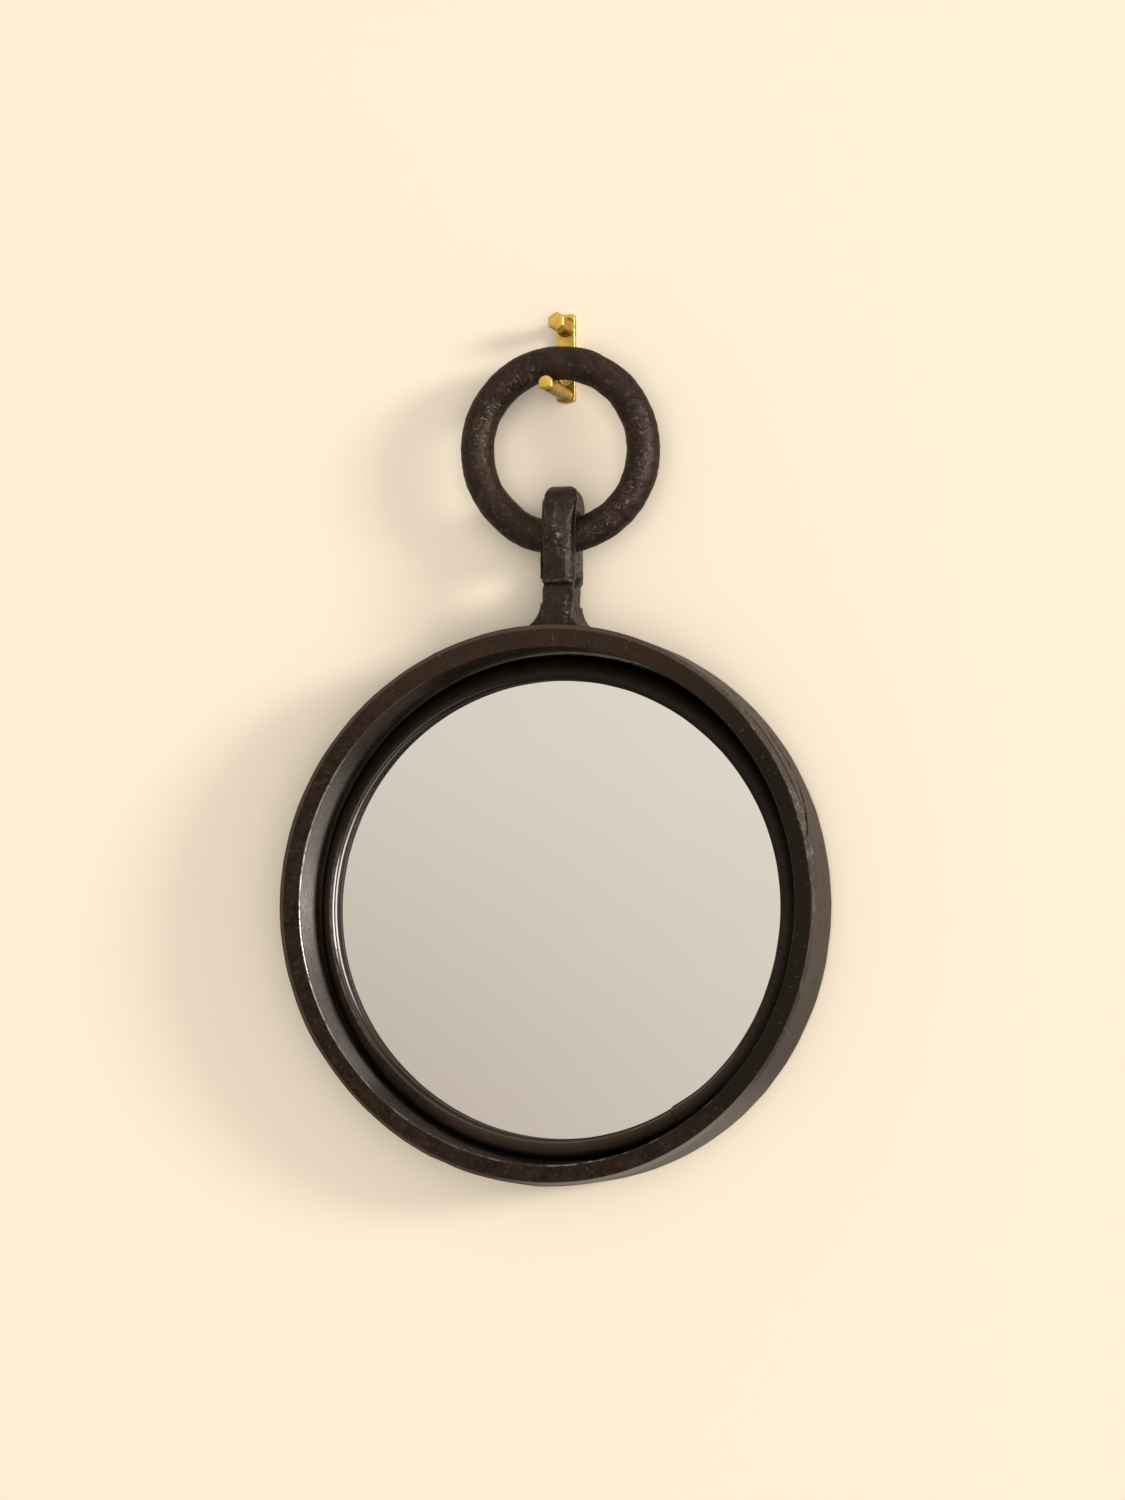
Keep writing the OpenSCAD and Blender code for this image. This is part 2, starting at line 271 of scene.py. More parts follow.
def iron_skin(nodes, tones, seed, wear_and_highlights, specks):
    """Colour, roughness, metal share and bump of waxed, forged iron, and the two grains in it.

    Worn edges are as bright as the fourth argument, which on the hoop also holds painted highlights; specks
    is how many pale grains show.
    """
    mottle = nodes.noise(10, seed, 5, 0.65)
    grain = nodes.noise(2.2, seed + 1, 3, 0.65)
    fine = nodes.noise(0.9, seed + 2, 2)
    red = nodes.noise(8, seed + 3, 4, 0.6).rise(0.55, 0.72)
    violet = nodes.noise(11, seed + 4, 3).rise(0.5, 0.72)
    edge, hollow = nodes.stored("edge"), nodes.stored("hollow")
    # Worn edges; on the hoop they also carry painted highlights where the light catches its edges
    worn = (edge + (grain - 0.5) * 1.2).rise(0.4, 1.0) * wear_and_highlights
    speck = fine.rise(0.66, 0.76) * (mottle + red).rise(0.45, 0.8) * specks
    colour = nodes.layers(
        tones["dark"],
        (mottle.rise(0.35, 0.65), tones["brown"]),
        (violet * 0.6, tones["violet"]),
        (red * (0.1 + 0.6 * grain), tones["red"]),
        (grain.rise(0.48, 0.3) * 0.75, tones["deep"]),
        (grain.rise(0.55, 0.72) * 0.35, tones["dust"]),
        (hollow * 0.6, tones["deep"]),
        (speck, tones["speck"]),
        (worn * 0.8, tones["worn"]),
    )
    roughness = 0.44 - 0.12 * grain + 0.12 * red - 0.1 * edge
    height = grain * (0.2 * MM) + fine * (0.06 * MM) + mottle * (0.3 * MM)
    return colour, roughness, worn * 0.8, height, grain, fine


def iron_surface(nodes, colour, roughness, height, metal, shine):
    return surface(nodes, colour, roughness, height, metal, Specular_IOR_Level=shine, Specular_Tint=WARM)


def bearing(across, up, direction, inner, outer):
    """1 within inner degrees of a direction round a centre, and 0 beyond outer degrees."""
    a = math.radians(direction)
    along = across * math.cos(a) + up * math.sin(a)
    return along.rise(math.cos(math.radians(outer)), math.cos(math.radians(inner)))


def round_the_mirror(nodes):
    """Depth behind the front edge, the two parts of the direction round the mirror, and a mask maker.

    toward(direction, inner, outer) is 1 within inner degrees of a direction round the mirror, and 0
    beyond outer degrees. Right is 0 and up is 90.
    """
    x, depth, z = nodes.split(nodes.vector("SUBTRACT", nodes.place, AXIS))
    radius = (x * x + z * z) ** 0.5
    across, up = x / radius, z / radius

    def toward(direction, inner, outer):
        return bearing(across, up, direction, inner, outer)

    return depth, across, up, toward


def edge_wear_and_highlights(nodes, radius, depth, toward, patches):
    """How bright the two edges of the hoop's face are: a little worn, with painted highlights where the light
    catches them.
    """
    inner = radius.rise(HOOP_IN + 1.1 * MM, HOOP_IN + 0.7 * MM) * depth.rise(1.2 * MM, 0.7 * MM)
    inner = inner * nodes.noise(3, 28.0, 2).rise(0.34, 0.5)
    outer = radius.rise(HOOP_R - 5 * MM, HOOP_R - 4 * MM) * depth.rise(6 * MM, 4 * MM)
    low = (toward(240, 30, 55) * 0.35 + toward(310, 30, 60) * 0.3) * patches
    inner_wear_and_highlight = toward(180, 16, 42) * 0.9 + low + toward(24, 24, 40) * 0.9
    outer_wear_and_highlight = toward(20, 25, 50) * patches * 0.6 + toward(-25, 20, 35) * 0.3
    return inner * (inner_wear_and_highlight + 0.04) + outer * (outer_wear_and_highlight + 0.03)


def hoop_cracks(nodes, radius, depth, up, toward):
    """Two cracks behind the rolled flat, and the dark line along its fold."""
    wavy = depth + (nodes.noise(8, 34.0, 4, 0.6) - 0.5) * (12 * MM)
    level = wavy.near(24 * MM, 1.9 * MM) * toward(33, 2, 7)
    slanted = (wavy - up * (96 * MM) + 18 * MM).near(0, 1.9 * MM) * toward(20, 2, 8)
    fold = (HOOP_R - radius).near(0.5 * MM, 0.25 * MM) * depth.rise(3 * MM, 5 * MM) * toward(38, 12, 20)
    return ((level + slanted) * 1.5 + fold).rise(0.1, 0.9)


def hoop_finish():
    """Front face, walls and edges of the hoop are each worn their own way, with painted highlights, sheen and
    a band of light.
    """
    nodes = new_finish("hoop_iron")
    depth, across, up, toward = round_the_mirror(nodes)
    radius = HOOP_IN + nodes.stored("share") * HOOP_BAR
    reach = radius + depth
    patches = nodes.noise(9, 23.0, 3).rise(0.5, 0.62)
    # Worn edges, with painted highlights where the light from the right catches them
    wear_and_highlights = edge_wear_and_highlights(nodes, radius, depth, toward, patches)
    colour, roughness, metal, height, grain, fine = iron_skin(nodes, IRON, 3.0, wear_and_highlights, 0.45)
    # The right of the front face is dark and greenish, the top brown
    face = depth.rise(1.6 * MM, 0.4 * MM)
    dark_right, brown_top = toward(8, 40, 78) * face, toward(90, 20, 60) * face
    scratch = nodes.noise(0.8, 22.0, 1, place=nodes.join(across * 0.16, up * 0.16, reach * 0.14))
    # The rolled flat at the right of the face is polished by rubbing, with painted highlights in patches and
    # ripples, and cracks behind it
    flat = (HOOP_R - radius).rise(0.3 * MM, 0.7 * MM) * depth.rise(0.3 * MM, 0.8 * MM)
    flat = flat * depth.rise(13 * MM, 10 * MM) * radius.rise(HOOP_R - 6 * MM, HOOP_R - 5 * MM)
    rubbed_and_lit_flat = flat * toward(26, 20, 32) * (0.35 + 0.65 * patches)
    streaks = nodes.noise(1.6, 26.0, 3, 0.6, nodes.join(across * 0.05, up * 0.05, reach))
    ripple = nodes.noise(1.3, 35.0, 3, 0.65, nodes.join(across * HOOP_R, up * HOOP_R, depth * 0.5))
    crack = hoop_cracks(nodes, radius, depth, up, toward)
    # Drawn bar on both walls. A painted sheen lightens the inner wall on the left, where the light from the
    # right falls
    drawn = nodes.noise(0.9, 21.0, 3, place=nodes.join(across * 0.02, up * 0.02, reach))
    filed = nodes.noise(1.5, 27.0, 2, place=nodes.join(across * HOOP_R, up * HOOP_R, depth * 0.15))
    filed = filed.rise(0.4, 0.65) * toward(48, 22, 40)
    outside = radius.rise(HOOP_R - 3 * MM, HOOP_R - 2.2 * MM)
    inside = radius.rise(HOOP_IN + 1.0 * MM, HOOP_IN + 0.3 * MM)
    # A painted band of light on the outer wall at the lower right
    lit_band_low_right = outside * toward(-68, 8, 34)
    # Painted sheen on the left of the inner wall, broken up by the drawn grain
    pale = 0.5 * (-across).over() ** 60 + 0.5 * toward(168, 6, 28) + 0.38 * toward(206, 8, 22)
    pale = pale + 0.12 * toward(238, 14, 30) + 0.1 * toward(132, 8, 16)
    pale = pale * depth.rise(28 * MM, 20 * MM) * (1 - 0.6 * depth.near(2.1 * MM, 1 * MM))
    sheen_grain = 0.34 + 0.2 * drawn.rise(0.35, 0.65) + 0.2 * fine.rise(0.35, 0.65)
    sheen_grain = sheen_grain + 0.22 * grain.rise(0.4, 0.6)
    colour = nodes.layers(
        colour,
        (dark_right * 0.9, tone(22, 18, 11)),
        (brown_top * 0.5, tone(56, 40, 29)),
        (scratch.rise(0.68, 0.78) * face * 0.35, IRON["speck"]),
        (rubbed_and_lit_flat * 0.6, tone(88, 82, 76)),
        (rubbed_and_lit_flat * streaks.rise(0.5, 0.62), tone(160, 153, 144)),
        (rubbed_and_lit_flat * (ripple.rise(0.5, 0.62) * toward(20, 6, 14)) * 0.8, tone(178, 172, 164)),
        (inside * pale * sheen_grain, tone(178, 171, 163)),
        (outside * (0.4 + 0.25 * drawn + 0.3 * filed), tone(90, 78, 70)),
        (lit_band_low_right * 0.5, tone(158, 146, 132)),
        (crack * 0.95, tone(26, 14, 10)),
    )
    roughness = roughness - rubbed_and_lit_flat * 0.12 + crack * 0.5
    height = height * (1 - 0.7 * outside) + drawn * (inside + outside) * (0.04 * MM)
    height = height + filed * outside * (0.1 * MM) - crack * (0.8 * MM)
    return iron_surface(nodes, colour, roughness, height, metal, 0.13)


def bead_finish():
    """The bead ring: smoother steps at the glass, with painted highlights, sheen, light and shade, and a
    painted shadow in the groove.
    """
    nodes = new_finish("bead_iron")
    tones = dict(IRON, dark=tone(32, 25, 17), brown=tone(44, 34, 25))
    depth, across, up, toward = round_the_mirror(nodes)
    radius = LIP_R + nodes.stored("share") * (BEAD_R - LIP_R)
    colour, roughness, metal, height, _, _ = iron_skin(nodes, tones, 5.0, 0.12, 0.2)
    crest, ledge, gap, lip = [nodes.stored(name) for name in ("crest", "ledge", "gap", "lip")]
    patches = nodes.noise(5, 29.0, 3, 0.6)
    steps = radius.rise(LIP_R + 5 * MM, LIP_R + 2.8 * MM)
    # Painted shadow deep in the groove
    groove = depth.rise(CREST_DEPTH + 0.8 * MM, CREST_DEPTH + 4 * MM)
    groove = groove * radius.rise(LIP_R + 5 * MM, LIP_R + 8 * MM)
    # A painted sheen beside the crest on the left
    sheen = radius.near(LIP_R + 3.2 * MM, 1.4 * MM) * toward(190, 10, 32) * patches.rise(0.2, 0.7)
    # Painted light on the bottom of the shoulder, and painted shade on the top under the hoop's rim
    lit_bottom, shaded_top = toward(285, 30, 55), toward(82, 50, 96)
    # Painted shade on the ledge below the glass at the bottom
    shade_under_glass = ledge * toward(245, 45, 68)
    # Painted highlights on the crest and the ledge on the left
    step_highlights = crest * toward(180, 7, 15) * patches.rise(0.25, 0.42) + ledge * toward(180, 12, 30)
    seam = (across * math.sin(LAP_ANGLE) - up * math.cos(LAP_ANGLE)).near(0, 0.004) * across.rise(0.2, 0.4)
    colour = nodes.layers(
        colour,
        (lip * 0.85, tone(48, 40, 27)),
        # painted highlights on the crest at the lower right
        (crest * toward(305, 12, 20) * 0.8, tone(146, 132, 114)),
        (lit_bottom * 0.6, tone(66, 53, 45)),
        (groove * 0.9, tones["deep"]),
        (shaded_top * 0.75, tones["deep"]),
        (sheen * 0.75, tone(124, 112, 112)),
        # painted shade between the steps on the left
        (gap * toward(180, 60, 90) * 0.95, tones["deep"]),
        # painted highlights on the crest and the ledge towards the left
        (crest * toward(200, 70, 110) * 0.5, tone(104, 94, 82)),
        (ledge * toward(174, 22, 56) * 0.7, tone(140, 132, 120)),
        (shade_under_glass * 0.92, tones["deep"]),
        (step_highlights * 0.95, tone(232, 226, 220)),
        (seam * 0.8, tones["deep"]),
    )
    roughness = roughness - steps * 0.16 + (gap + shade_under_glass) * 0.45 + lip * 0.3
    return iron_surface(nodes, colour, roughness, height * 0.5, metal, 0.2)


def eye_finish():
    """The eye: forged from flat bar, with painted glints down the ridge of its front arm and its shank, which
    are smoother there.
    """
    nodes = new_finish("eye_iron")
    colour, roughness, metal, height, _, _ = iron_skin(nodes, IRON, 9.0, 0.1, 0.6)
    stroke = nodes.noise(2.6, 18.0, 3, 0.65)
    x, y, z = nodes.split(nodes.place)
    ridge = (x - EYE_ASIDE - 3.2 * MM + 0.31 * (z - EYE_Z)).near(0, 4 * MM)
    ridge = ridge * z.near(EYE_Z - 5 * MM, 17 * MM)
    shank = (x - EYE_ASIDE - 8 * MM).near(0, 2.2 * MM) * z.near(EYE_Z - 46 * MM, 12 * MM)
    bright = (ridge + shank) * y.rise(PLANE_Y - 8 * MM, PLANE_Y - 12 * MM)
    # Painted glints on the strokes down the ridge and the shank
    colour = nodes.mix(bright * stroke.rise(0.48, 0.62) * 0.75, colour, tone(158, 141, 136))
    height = height + stroke * (0.65 * MM)
    return iron_surface(nodes, colour, roughness - 0.2 * bright, height, metal, 0.26)


def ring_finish():
    """The ring: short strokes lie round its bar, as bumps and as painted glints where the light catches the
    bar.
    """
    nodes = new_finish("ring_iron")
    tones = dict(IRON, dark=tone(28, 17, 11), brown=tone(45, 28, 19))
    colour, roughness, metal, height, _, _ = iron_skin(nodes, tones, 7.0, 0.15, 0.5)
    x, y, z = nodes.split(nodes.vector("SUBTRACT", nodes.place, RING_CENTRE))
    radius = (x * x + z * z) ** 0.5
    across, up = x / radius, z / radius
    strokes = nodes.join(across * RING_R, y * 0.45 + radius * 0.45, up * RING_R)
    stroke = 0.5 * nodes.noise(1.8, 24.0, 4, 0.7, strokes) + 0.5 * nodes.noise(1.5, 33.0, 3, 0.6)
    patches = nodes.noise(4, 30.0, 3).rise(0.42, 0.56)
    pit = nodes.noise(2.4, 25.0, 2).rise(0.6, 0.72)
    # Painted glints on the upper left towards the middle and the lower right outwards, where the bar is also
    # smoother
    inner_left = bearing(across, up, 142, 28, 52) * radius.near(RING_R - 3 * MM, 6.5 * MM)
    outer_right = bearing(across, up, -22, 38, 66) * radius.near(RING_R + 3.5 * MM, 6.5 * MM)
    bright = (inner_left + outer_right) * (-y).rise(-2 * MM, 4 * MM) * (0.3 + 0.7 * patches)
    colour = nodes.layers(
        colour,
        (pit * 0.5, IRON["deep"]),
        (bright * stroke.rise(0.52, 0.61) * 0.6, tone(150, 133, 128)),
    )
    height = height + stroke * (0.7 * MM) - pit * (0.25 * MM)
    return iron_surface(nodes, colour, roughness + 0.08 - 0.14 * bright, height, metal, 0.27)


# Brass, glass, backing and small parts


def brass_finish():
    """Cast brass, tarnished in the corners, with painted shade under both prongs."""
    nodes = new_finish("hook_brass")
    cloud = nodes.noise(5, 31.0, 3)
    fine = nodes.noise(0.6, 32.0, 2)
    hollow, edge = nodes.stored("hollow"), nodes.stored("edge")
    _, y, z = nodes.split(nodes.place)
    proud = y.rise(-PLATE_T, -PLATE_T - 2 * MM)
    # Painted shade under both prongs, in front of the plate
    under = z.near(TOP_PRONG_Z - 5 * MM, 3.2 * MM) * y.rise(-17 * MM, -15 * MM)
    under = (under + z.near(SEAT_Z - 4.2 * MM, 2.6 * MM)) * proud
    colour = nodes.layers(
        tone(238, 200, 106),
        (cloud.rise(0.4, 0.65), tone(226, 176, 80)),
        (under * 0.8, tone(104, 60, 14)),
        (hollow.rise(0.1, 0.7) * 0.85, tone(96, 56, 14)),
        (edge * 0.5, tone(252, 228, 152)),
    )
    roughness = 0.3 + 0.12 * cloud + 0.2 * hollow
    return surface(nodes, colour, roughness, fine * (0.02 * MM) + cloud * (0.08 * MM), 1.0)


def glass_finish():
    """Silvered glass: the front mirrors, the back is painted and the edge is ground."""
    nodes = new_finish("silvered_glass")
    _, y, _ = nodes.split(nodes.place)
    front = y.rise(glass_low.y + 0.6 * MM, glass_low.y + 0.2 * MM)
    paint = nodes.noise(3, 41.0, 3)
    cloud = nodes.noise(60, 42.0, 2)
    silver = nodes.mix(cloud, tone(241, 240, 236), tone(243, 238, 236))
    back = nodes.mix(paint, tone(84, 92, 88), tone(98, 104, 98))
    roughness = 0.5 - front * 0.47 + front * cloud * 0.02
    return surface(nodes, nodes.mix(front, back, silver), roughness, cloud * (0.02 * MM), front)


def tape_finish():
    nodes = new_finish("soft_tape")
    grain = nodes.noise(0.8, 51.0, 2)
    colour = nodes.mix(grain, tone(34, 32, 30), tone(48, 46, 43))
    return surface(nodes, colour, 0.8 - 0.15 * grain, grain * (0.05 * MM), 0.0)


def felt_finish():
    nodes = new_finish("grey_felt")
    fibre = nodes.noise(0.7, 52.0, 4, 0.7)
    colour = nodes.mix(fibre.rise(0.3, 0.7), tone(104, 101, 97), tone(142, 138, 132))
    return surface(nodes, colour, 0.95 - 0.1 * fibre, fibre * (0.2 * MM), 0.0)


def hardboard_finish():
    """Pressed fibreboard with the mesh print of its rough side at the back."""
    nodes = new_finish("hardboard")
    x, _, z = nodes.split(nodes.place)
    cloud = nodes.noise(30, 61.0, 4, 0.6)
    fibre = nodes.noise(1.1, 62.0, 4, 0.7)
    turns = math.tau / (1.6 * MM)
    mesh = ((x * turns).math("SINE") * (z * turns).math("SINE")).rise(-0.4, 0.6)
    colour = nodes.layers(
        tone(112, 82, 56),
        (cloud.rise(0.3, 0.7), tone(134, 100, 70)),
        (fibre.rise(0.55, 0.75) * 0.6, tone(84, 58, 38)),
        (mesh * 0.25, tone(92, 66, 45)),
    )
    return surface(nodes, colour, 0.78 - 0.15 * fibre, mesh * (-0.12 * MM) + fibre * (0.1 * MM), 0.0)


def steel_finish(name, seed):
    """Zinc plated steel with a fine brushed grain and dull spots."""
    nodes = new_finish(name)
    spangle = nodes.noise(4, seed, 3)
    brushed = nodes.noise(0.35, seed + 1, 2, place=nodes.vector("MULTIPLY", nodes.place, (1, 1, 0.08)))
    colour = nodes.layers(
        tone(176, 178, 176),
        (spangle.rise(0.35, 0.65), tone(196, 194, 184)),
        (nodes.stored("hollow") * 0.6, tone(96, 92, 84)),
    )
    return surface(nodes, colour, 0.3 + 0.16 * spangle + 0.1 * brushed, brushed * (0.012 * MM), 1.0)


def rubber_finish():
    nodes = new_finish("bumper_rubber")
    grain = nodes.noise(0.6, 71.0, 3)
    dust = nodes.noise(4, 72.0, 3)
    colour = nodes.mix(dust.rise(0.5, 0.75) * 0.5, tone(38, 37, 36), tone(84, 80, 76))
    return surface(nodes, colour, 0.7 - 0.15 * grain, grain * (0.04 * MM), 0.0)


# Meshes


def add_piece(name, data):
    piece = bpy.data.objects.new(name, data)
    bpy.context.scene.collection.objects.link(piece)
    return piece


def remove(pieces):
    for piece in pieces:
        bpy.data.objects.remove(piece)


def mesh_of(name, points, edges=(), faces=()):
    mesh = bpy.data.meshes.new(name)
    mesh.from_pydata([tuple(p) for p in points], list(edges), [tuple(f) for f in faces])
    return mesh


def shown_mesh(piece):
    """A new mesh of what a piece shows, with its modifiers carried out."""
    bpy.context.view_layer.update()
    graph = bpy.context.evaluated_depsgraph_get()
    return bpy.data.meshes.new_from_object(piece.evaluated_get(graph), depsgraph=graph)


def settled(piece):
    """The piece with its modifiers turned into a plain mesh."""
    mesh = shown_mesh(piece)
    mesh.name = piece.name
    piece.modifiers.clear()
    piece.data = mesh
    return piece


def one_skin(name, meshes, weld=0.0, outwards=False):
    """A new object with the faces of several meshes, whose points are welded within a distance."""
    whole = bmesh.new()
    for mesh in meshes:
        whole.from_mesh(mesh)
    if weld:
        bmesh.ops.remove_doubles(whole, verts=whole.verts, dist=weld)
    if outwards:
        bmesh.ops.recalc_face_normals(whole, faces=whole.faces)
    mesh = bpy.data.meshes.new(name)
    whole.to_mesh(mesh)
    whole.free()
    return add_piece(name, mesh)


def vertex_array(mesh, what="co"):
    values = np.empty(len(mesh.vertices) * 3, np.float32)
    mesh.vertices.foreach_get(what, values)
    return values.reshape(-1, 3).astype(float)


def move_vertices(piece, places):
    piece.data.vertices.foreach_set("co", places.astype(np.float32).ravel())
    piece.data.update()


def soft_step(value, low, high):
    t = np.clip((value - low) / (high - low), 0, 1)
    return t * t * (3 - 2 * t)


def near(value, middle, reach):
    """1 at middle and 0 from reach away."""
    return 1 - soft_step(np.abs(value - middle), 0, reach)


def note(piece, name, values):
    """Stores a number from 0 to 1 at each vertex."""
    layer = piece.data.attributes.new(name, "FLOAT", "POINT")
    layer.data.foreach_set("value", np.clip(values, 0, 1).astype(np.float32))


def note_edges(piece, size, rounds=1):
    """Stores how sharply the surface turns at each vertex: 'edge' outwards and 'hollow' inwards.

    A turn with a radius of size counts as 1.
    """
    mesh = piece.data
    places, normals = vertex_array(mesh), vertex_array(mesh, "normal")
    ends = np.empty(len(mesh.edges) * 2, np.int32)
    mesh.edges.foreach_get("vertices", ends)
    a, b = ends.reshape(-1, 2).T
    along = places[b] - places[a]
    length = np.maximum((along**2).sum(1), 1e-12)
    turn = ((normals[b] - normals[a]) * along).sum(1) / length
    count = len(places)
    uses = np.bincount(a, minlength=count) + np.bincount(b, minlength=count)

    def average(values):
        return (np.bincount(a, values[0], count) + np.bincount(b, values[1], count)) / uses

    turns = average((turn, turn)) * 2
    for _ in range(rounds):
        turns = (turns + average((turns[b], turns[a]))) / 2
    note(piece, "edge", turns * size)
    note(piece, "hollow", -turns * size)


def soft_outline(corners):
    """Points round a closed outline. A corner is (x, y, cut, step): cut is where its curve starts, and
    step the greatest spacing on the straight stretch that follows it."""
    points = []
    for i, (x, y, cut, step) in enumerate(corners):
        here = Vector((x, y))
        before = Vector(corners[i - 1][:2])
        after_x, after_y, after_cut, _ = corners[(i + 1) % len(corners)]
        after = Vector((after_x, after_y))
        start = here + (before - here).normalized() * cut
        end = here + (after - here).normalized() * cut
        bend_count = 5 if cut else 0
        for k in range(bend_count):
            t = k / bend_count
            points.append(start * (1 - t) ** 2 + here * 2 * t * (1 - t) + end * t**2)
        stop = after + (here - after).normalized() * after_cut
        count = max(1, math.ceil((stop - end).length / step))
        points += [end.lerp(stop, k / count) for k in range(count)]
    return points


def loft(name, rings):
    """A closed skin through rings of equally many points, capped at both ends."""
    count = len(rings[0])
    faces = [
        (i * count + k, i * count + (k + 1) % count, (i + 1) * count + (k + 1) % count, (i + 1) * count + k)
        for i in range(len(rings) - 1)
        for k in range(count)
    ]
    faces.append(tuple(reversed(range(count))))
    faces.append(tuple(range((len(rings) - 1) * count, len(rings) * count)))
    skin = mesh_of("skin", [p for ring in rings for p in ring], faces=faces)
    return one_skin(name, [skin], outwards=True)


def cut_by(piece, tools):
    """Cuts tools out of a piece and removes them."""
    for tool in tools:
        cutter = piece.modifiers.new("cut", "BOOLEAN")
        cutter.operation = "DIFFERENCE"
        cutter.object = tool
    settled(piece)
    remove(tools)


def fused(piece, voxel, smoothing):
    """Adds the modifiers that melt a piece's solids into one skin with soft edges."""
    remesh = piece.modifiers.new("fuse", "REMESH")
    remesh.mode = "VOXEL"
    remesh.voxel_size = voxel
    soften = piece.modifiers.new("soften", "SMOOTH")
    soften.factor = 0.5
    soften.iterations = smoothing
    return piece


def smooth_shaded(piece):
    piece.data.polygons.foreach_set("use_smooth", [True] * len(piece.data.polygons))
    return piece


def finish_piece(piece, body, finish, slot, *nodes):
    """Gives a piece its finish and its body, and hides the CAD nodes that it stands for."""
    piece.data.materials.clear()
    piece.data.materials.append(finish)
    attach(piece, body)
    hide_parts(*nodes)


# Geometry Nodes trees


def new_tree(name, inputs):
    """A Geometry Nodes tree with named inputs, its nodes and the values of its inputs."""
    tree = bpy.data.node_groups.new(name, "GeometryNodeTree")
    tree.interface.new_socket(name="Geometry", in_out="INPUT", socket_type="NodeSocketGeometry")
    for label, kind in inputs.items():
        tree.interface.new_socket(name=label, in_out="INPUT", socket_type="NodeSocket" + kind)
    tree.interface.new_socket(name="Geometry", in_out="OUTPUT", socket_type="NodeSocketGeometry")
    nodes = Nodes(tree)
    given = tree.nodes.new("NodeGroupInput")
    return tree, nodes, {s.name: Value(nodes, s) for s in given.outputs if s.name}


def end_tree(nodes, geometry, finish):
    plain = nodes.add("GeometryNodeRealizeInstances", None, {0: geometry})
    dressed = nodes.add("GeometryNodeSetMaterial", None, {"Geometry": plain, "Material": finish})
    nodes.add("NodeGroupOutput", None, {0: dressed})


def apply_tree(piece, tree, **values):
    """Adds a tree to a piece and sets its inputs, whose names have _ for each space here."""
    modifier = piece.modifiers.new(tree.name, "NODES")
    modifier.node_group = tree
    sockets = {s.name: s.identifier for s in tree.interface.items_tree if s.in_out == "INPUT"}
    for name, value in values.items():
        modifier[sockets[name.replace("_", " ")]] = value


def turned_tree():
    """Turns a closed profile of (distance from the pitch circle, depth) round a centre on the wall side."""
    inputs = {"Pitch radius": "Float", "Segments": "Int", "Centre": "Vector", "Finish": "Material"}
    tree, nodes, given = new_tree("turned_round", inputs)
    profile = nodes.add("GeometryNodeMeshToCurve", None, {0: given["Geometry"]})
    size = {"Resolution": given["Segments"], "Radius": given["Pitch radius"]}
    circle = nodes.add("GeometryNodeCurvePrimitiveCircle", None, size)
    swept = nodes.add("GeometryNodeCurveToMesh", None, {"Curve": circle, "Profile Curve": profile})
    stand = {"Geometry": swept, "Translation": given["Centre"], "Rotation": (math.pi / 2, 0, 0)}
    end_tree(nodes, nodes.add("GeometryNodeTransform", None, stand), given["Finish"])
    return tree


def hammered_tree():
    """Presses shallow hammer dents and slow lumps into a skin, always inwards."""
    sizes = ("Dent size", "Dent depth", "Lump size", "Lump depth", "Seed")
    inputs = {**dict.fromkeys(sizes, "Float"), "Finish": "Material"}
    tree, nodes, given = new_tree("hammered_skin", inputs)
    place = nodes.add("GeometryNodeInputPosition")
    normal = nodes.add("GeometryNodeInputNormal")
    dish = nodes.add(
        "ShaderNodeTexVoronoi",
        {"feature": "SMOOTH_F1", "voronoi_dimensions": "4D"},
        {"Vector": place, "W": given["Seed"], "Scale": 1 / given["Dent size"], "Smoothness": 0.3},
    )
    lump = nodes.add(
        "ShaderNodeTexNoise",
        {"noise_dimensions": "4D"},
        {"Vector": place, "W": given["Seed"], "Scale": 1 / given["Lump size"], "Detail": 2.0},
    )
    depth = dish.rise(0.75, 0.05) * given["Dent depth"] + lump.rise(0.25, 0.75) * given["Lump depth"]
    offset = nodes.add("ShaderNodeVectorMath", {"operation": "SCALE"}, {0: normal, "Scale": -depth})
    pressed = nodes.add("GeometryNodeSetPosition", None, {"Geometry": given["Geometry"], "Offset": offset})
    end_tree(nodes, pressed, given["Finish"])
    return tree


def circle_row_tree():
    """Sets copies of a part, which lies on the mirror's axis, on a circle round the axis."""
    inputs = {
        "Count": "Int", "First angle": "Float", "Circle radius": "Float", "Spin": "Float", "Seed": "Int",
        "Finish": "Material",
    }
    tree, nodes, given = new_tree("row_on_circle", inputs)
    points = nodes.add("GeometryNodePoints", None, {"Count": given["Count"]})
    index = nodes.add("GeometryNodeInputIndex")
    angle = given["First angle"] + index * math.tau / given["Count"]
    across = angle.math("COSINE") * given["Circle radius"]
    up = angle.math("SINE") * given["Circle radius"]
    at = {"Geometry": points, "Position": nodes.join(across, 0.0, up)}
    laid = nodes.add("GeometryNodeSetPosition", None, at)
    draw = {2: -1.0, 3: 1.0, "Seed": given["Seed"]}
    own_turn = nodes.add("FunctionNodeRandomValue", {"data_type": "FLOAT"}, draw, out=1)
    turn = nodes.join(0.0, own_turn * given["Spin"] - angle, 0.0)
    copies = {"Points": laid, "Instance": given["Geometry"], "Rotation": turn}
    end_tree(nodes, nodes.add("GeometryNodeInstanceOnPoints", None, copies), given["Finish"])
    return tree


TURNED, HAMMERED, ROW = turned_tree(), hammered_tree(), circle_row_tree()


# Iron pieces


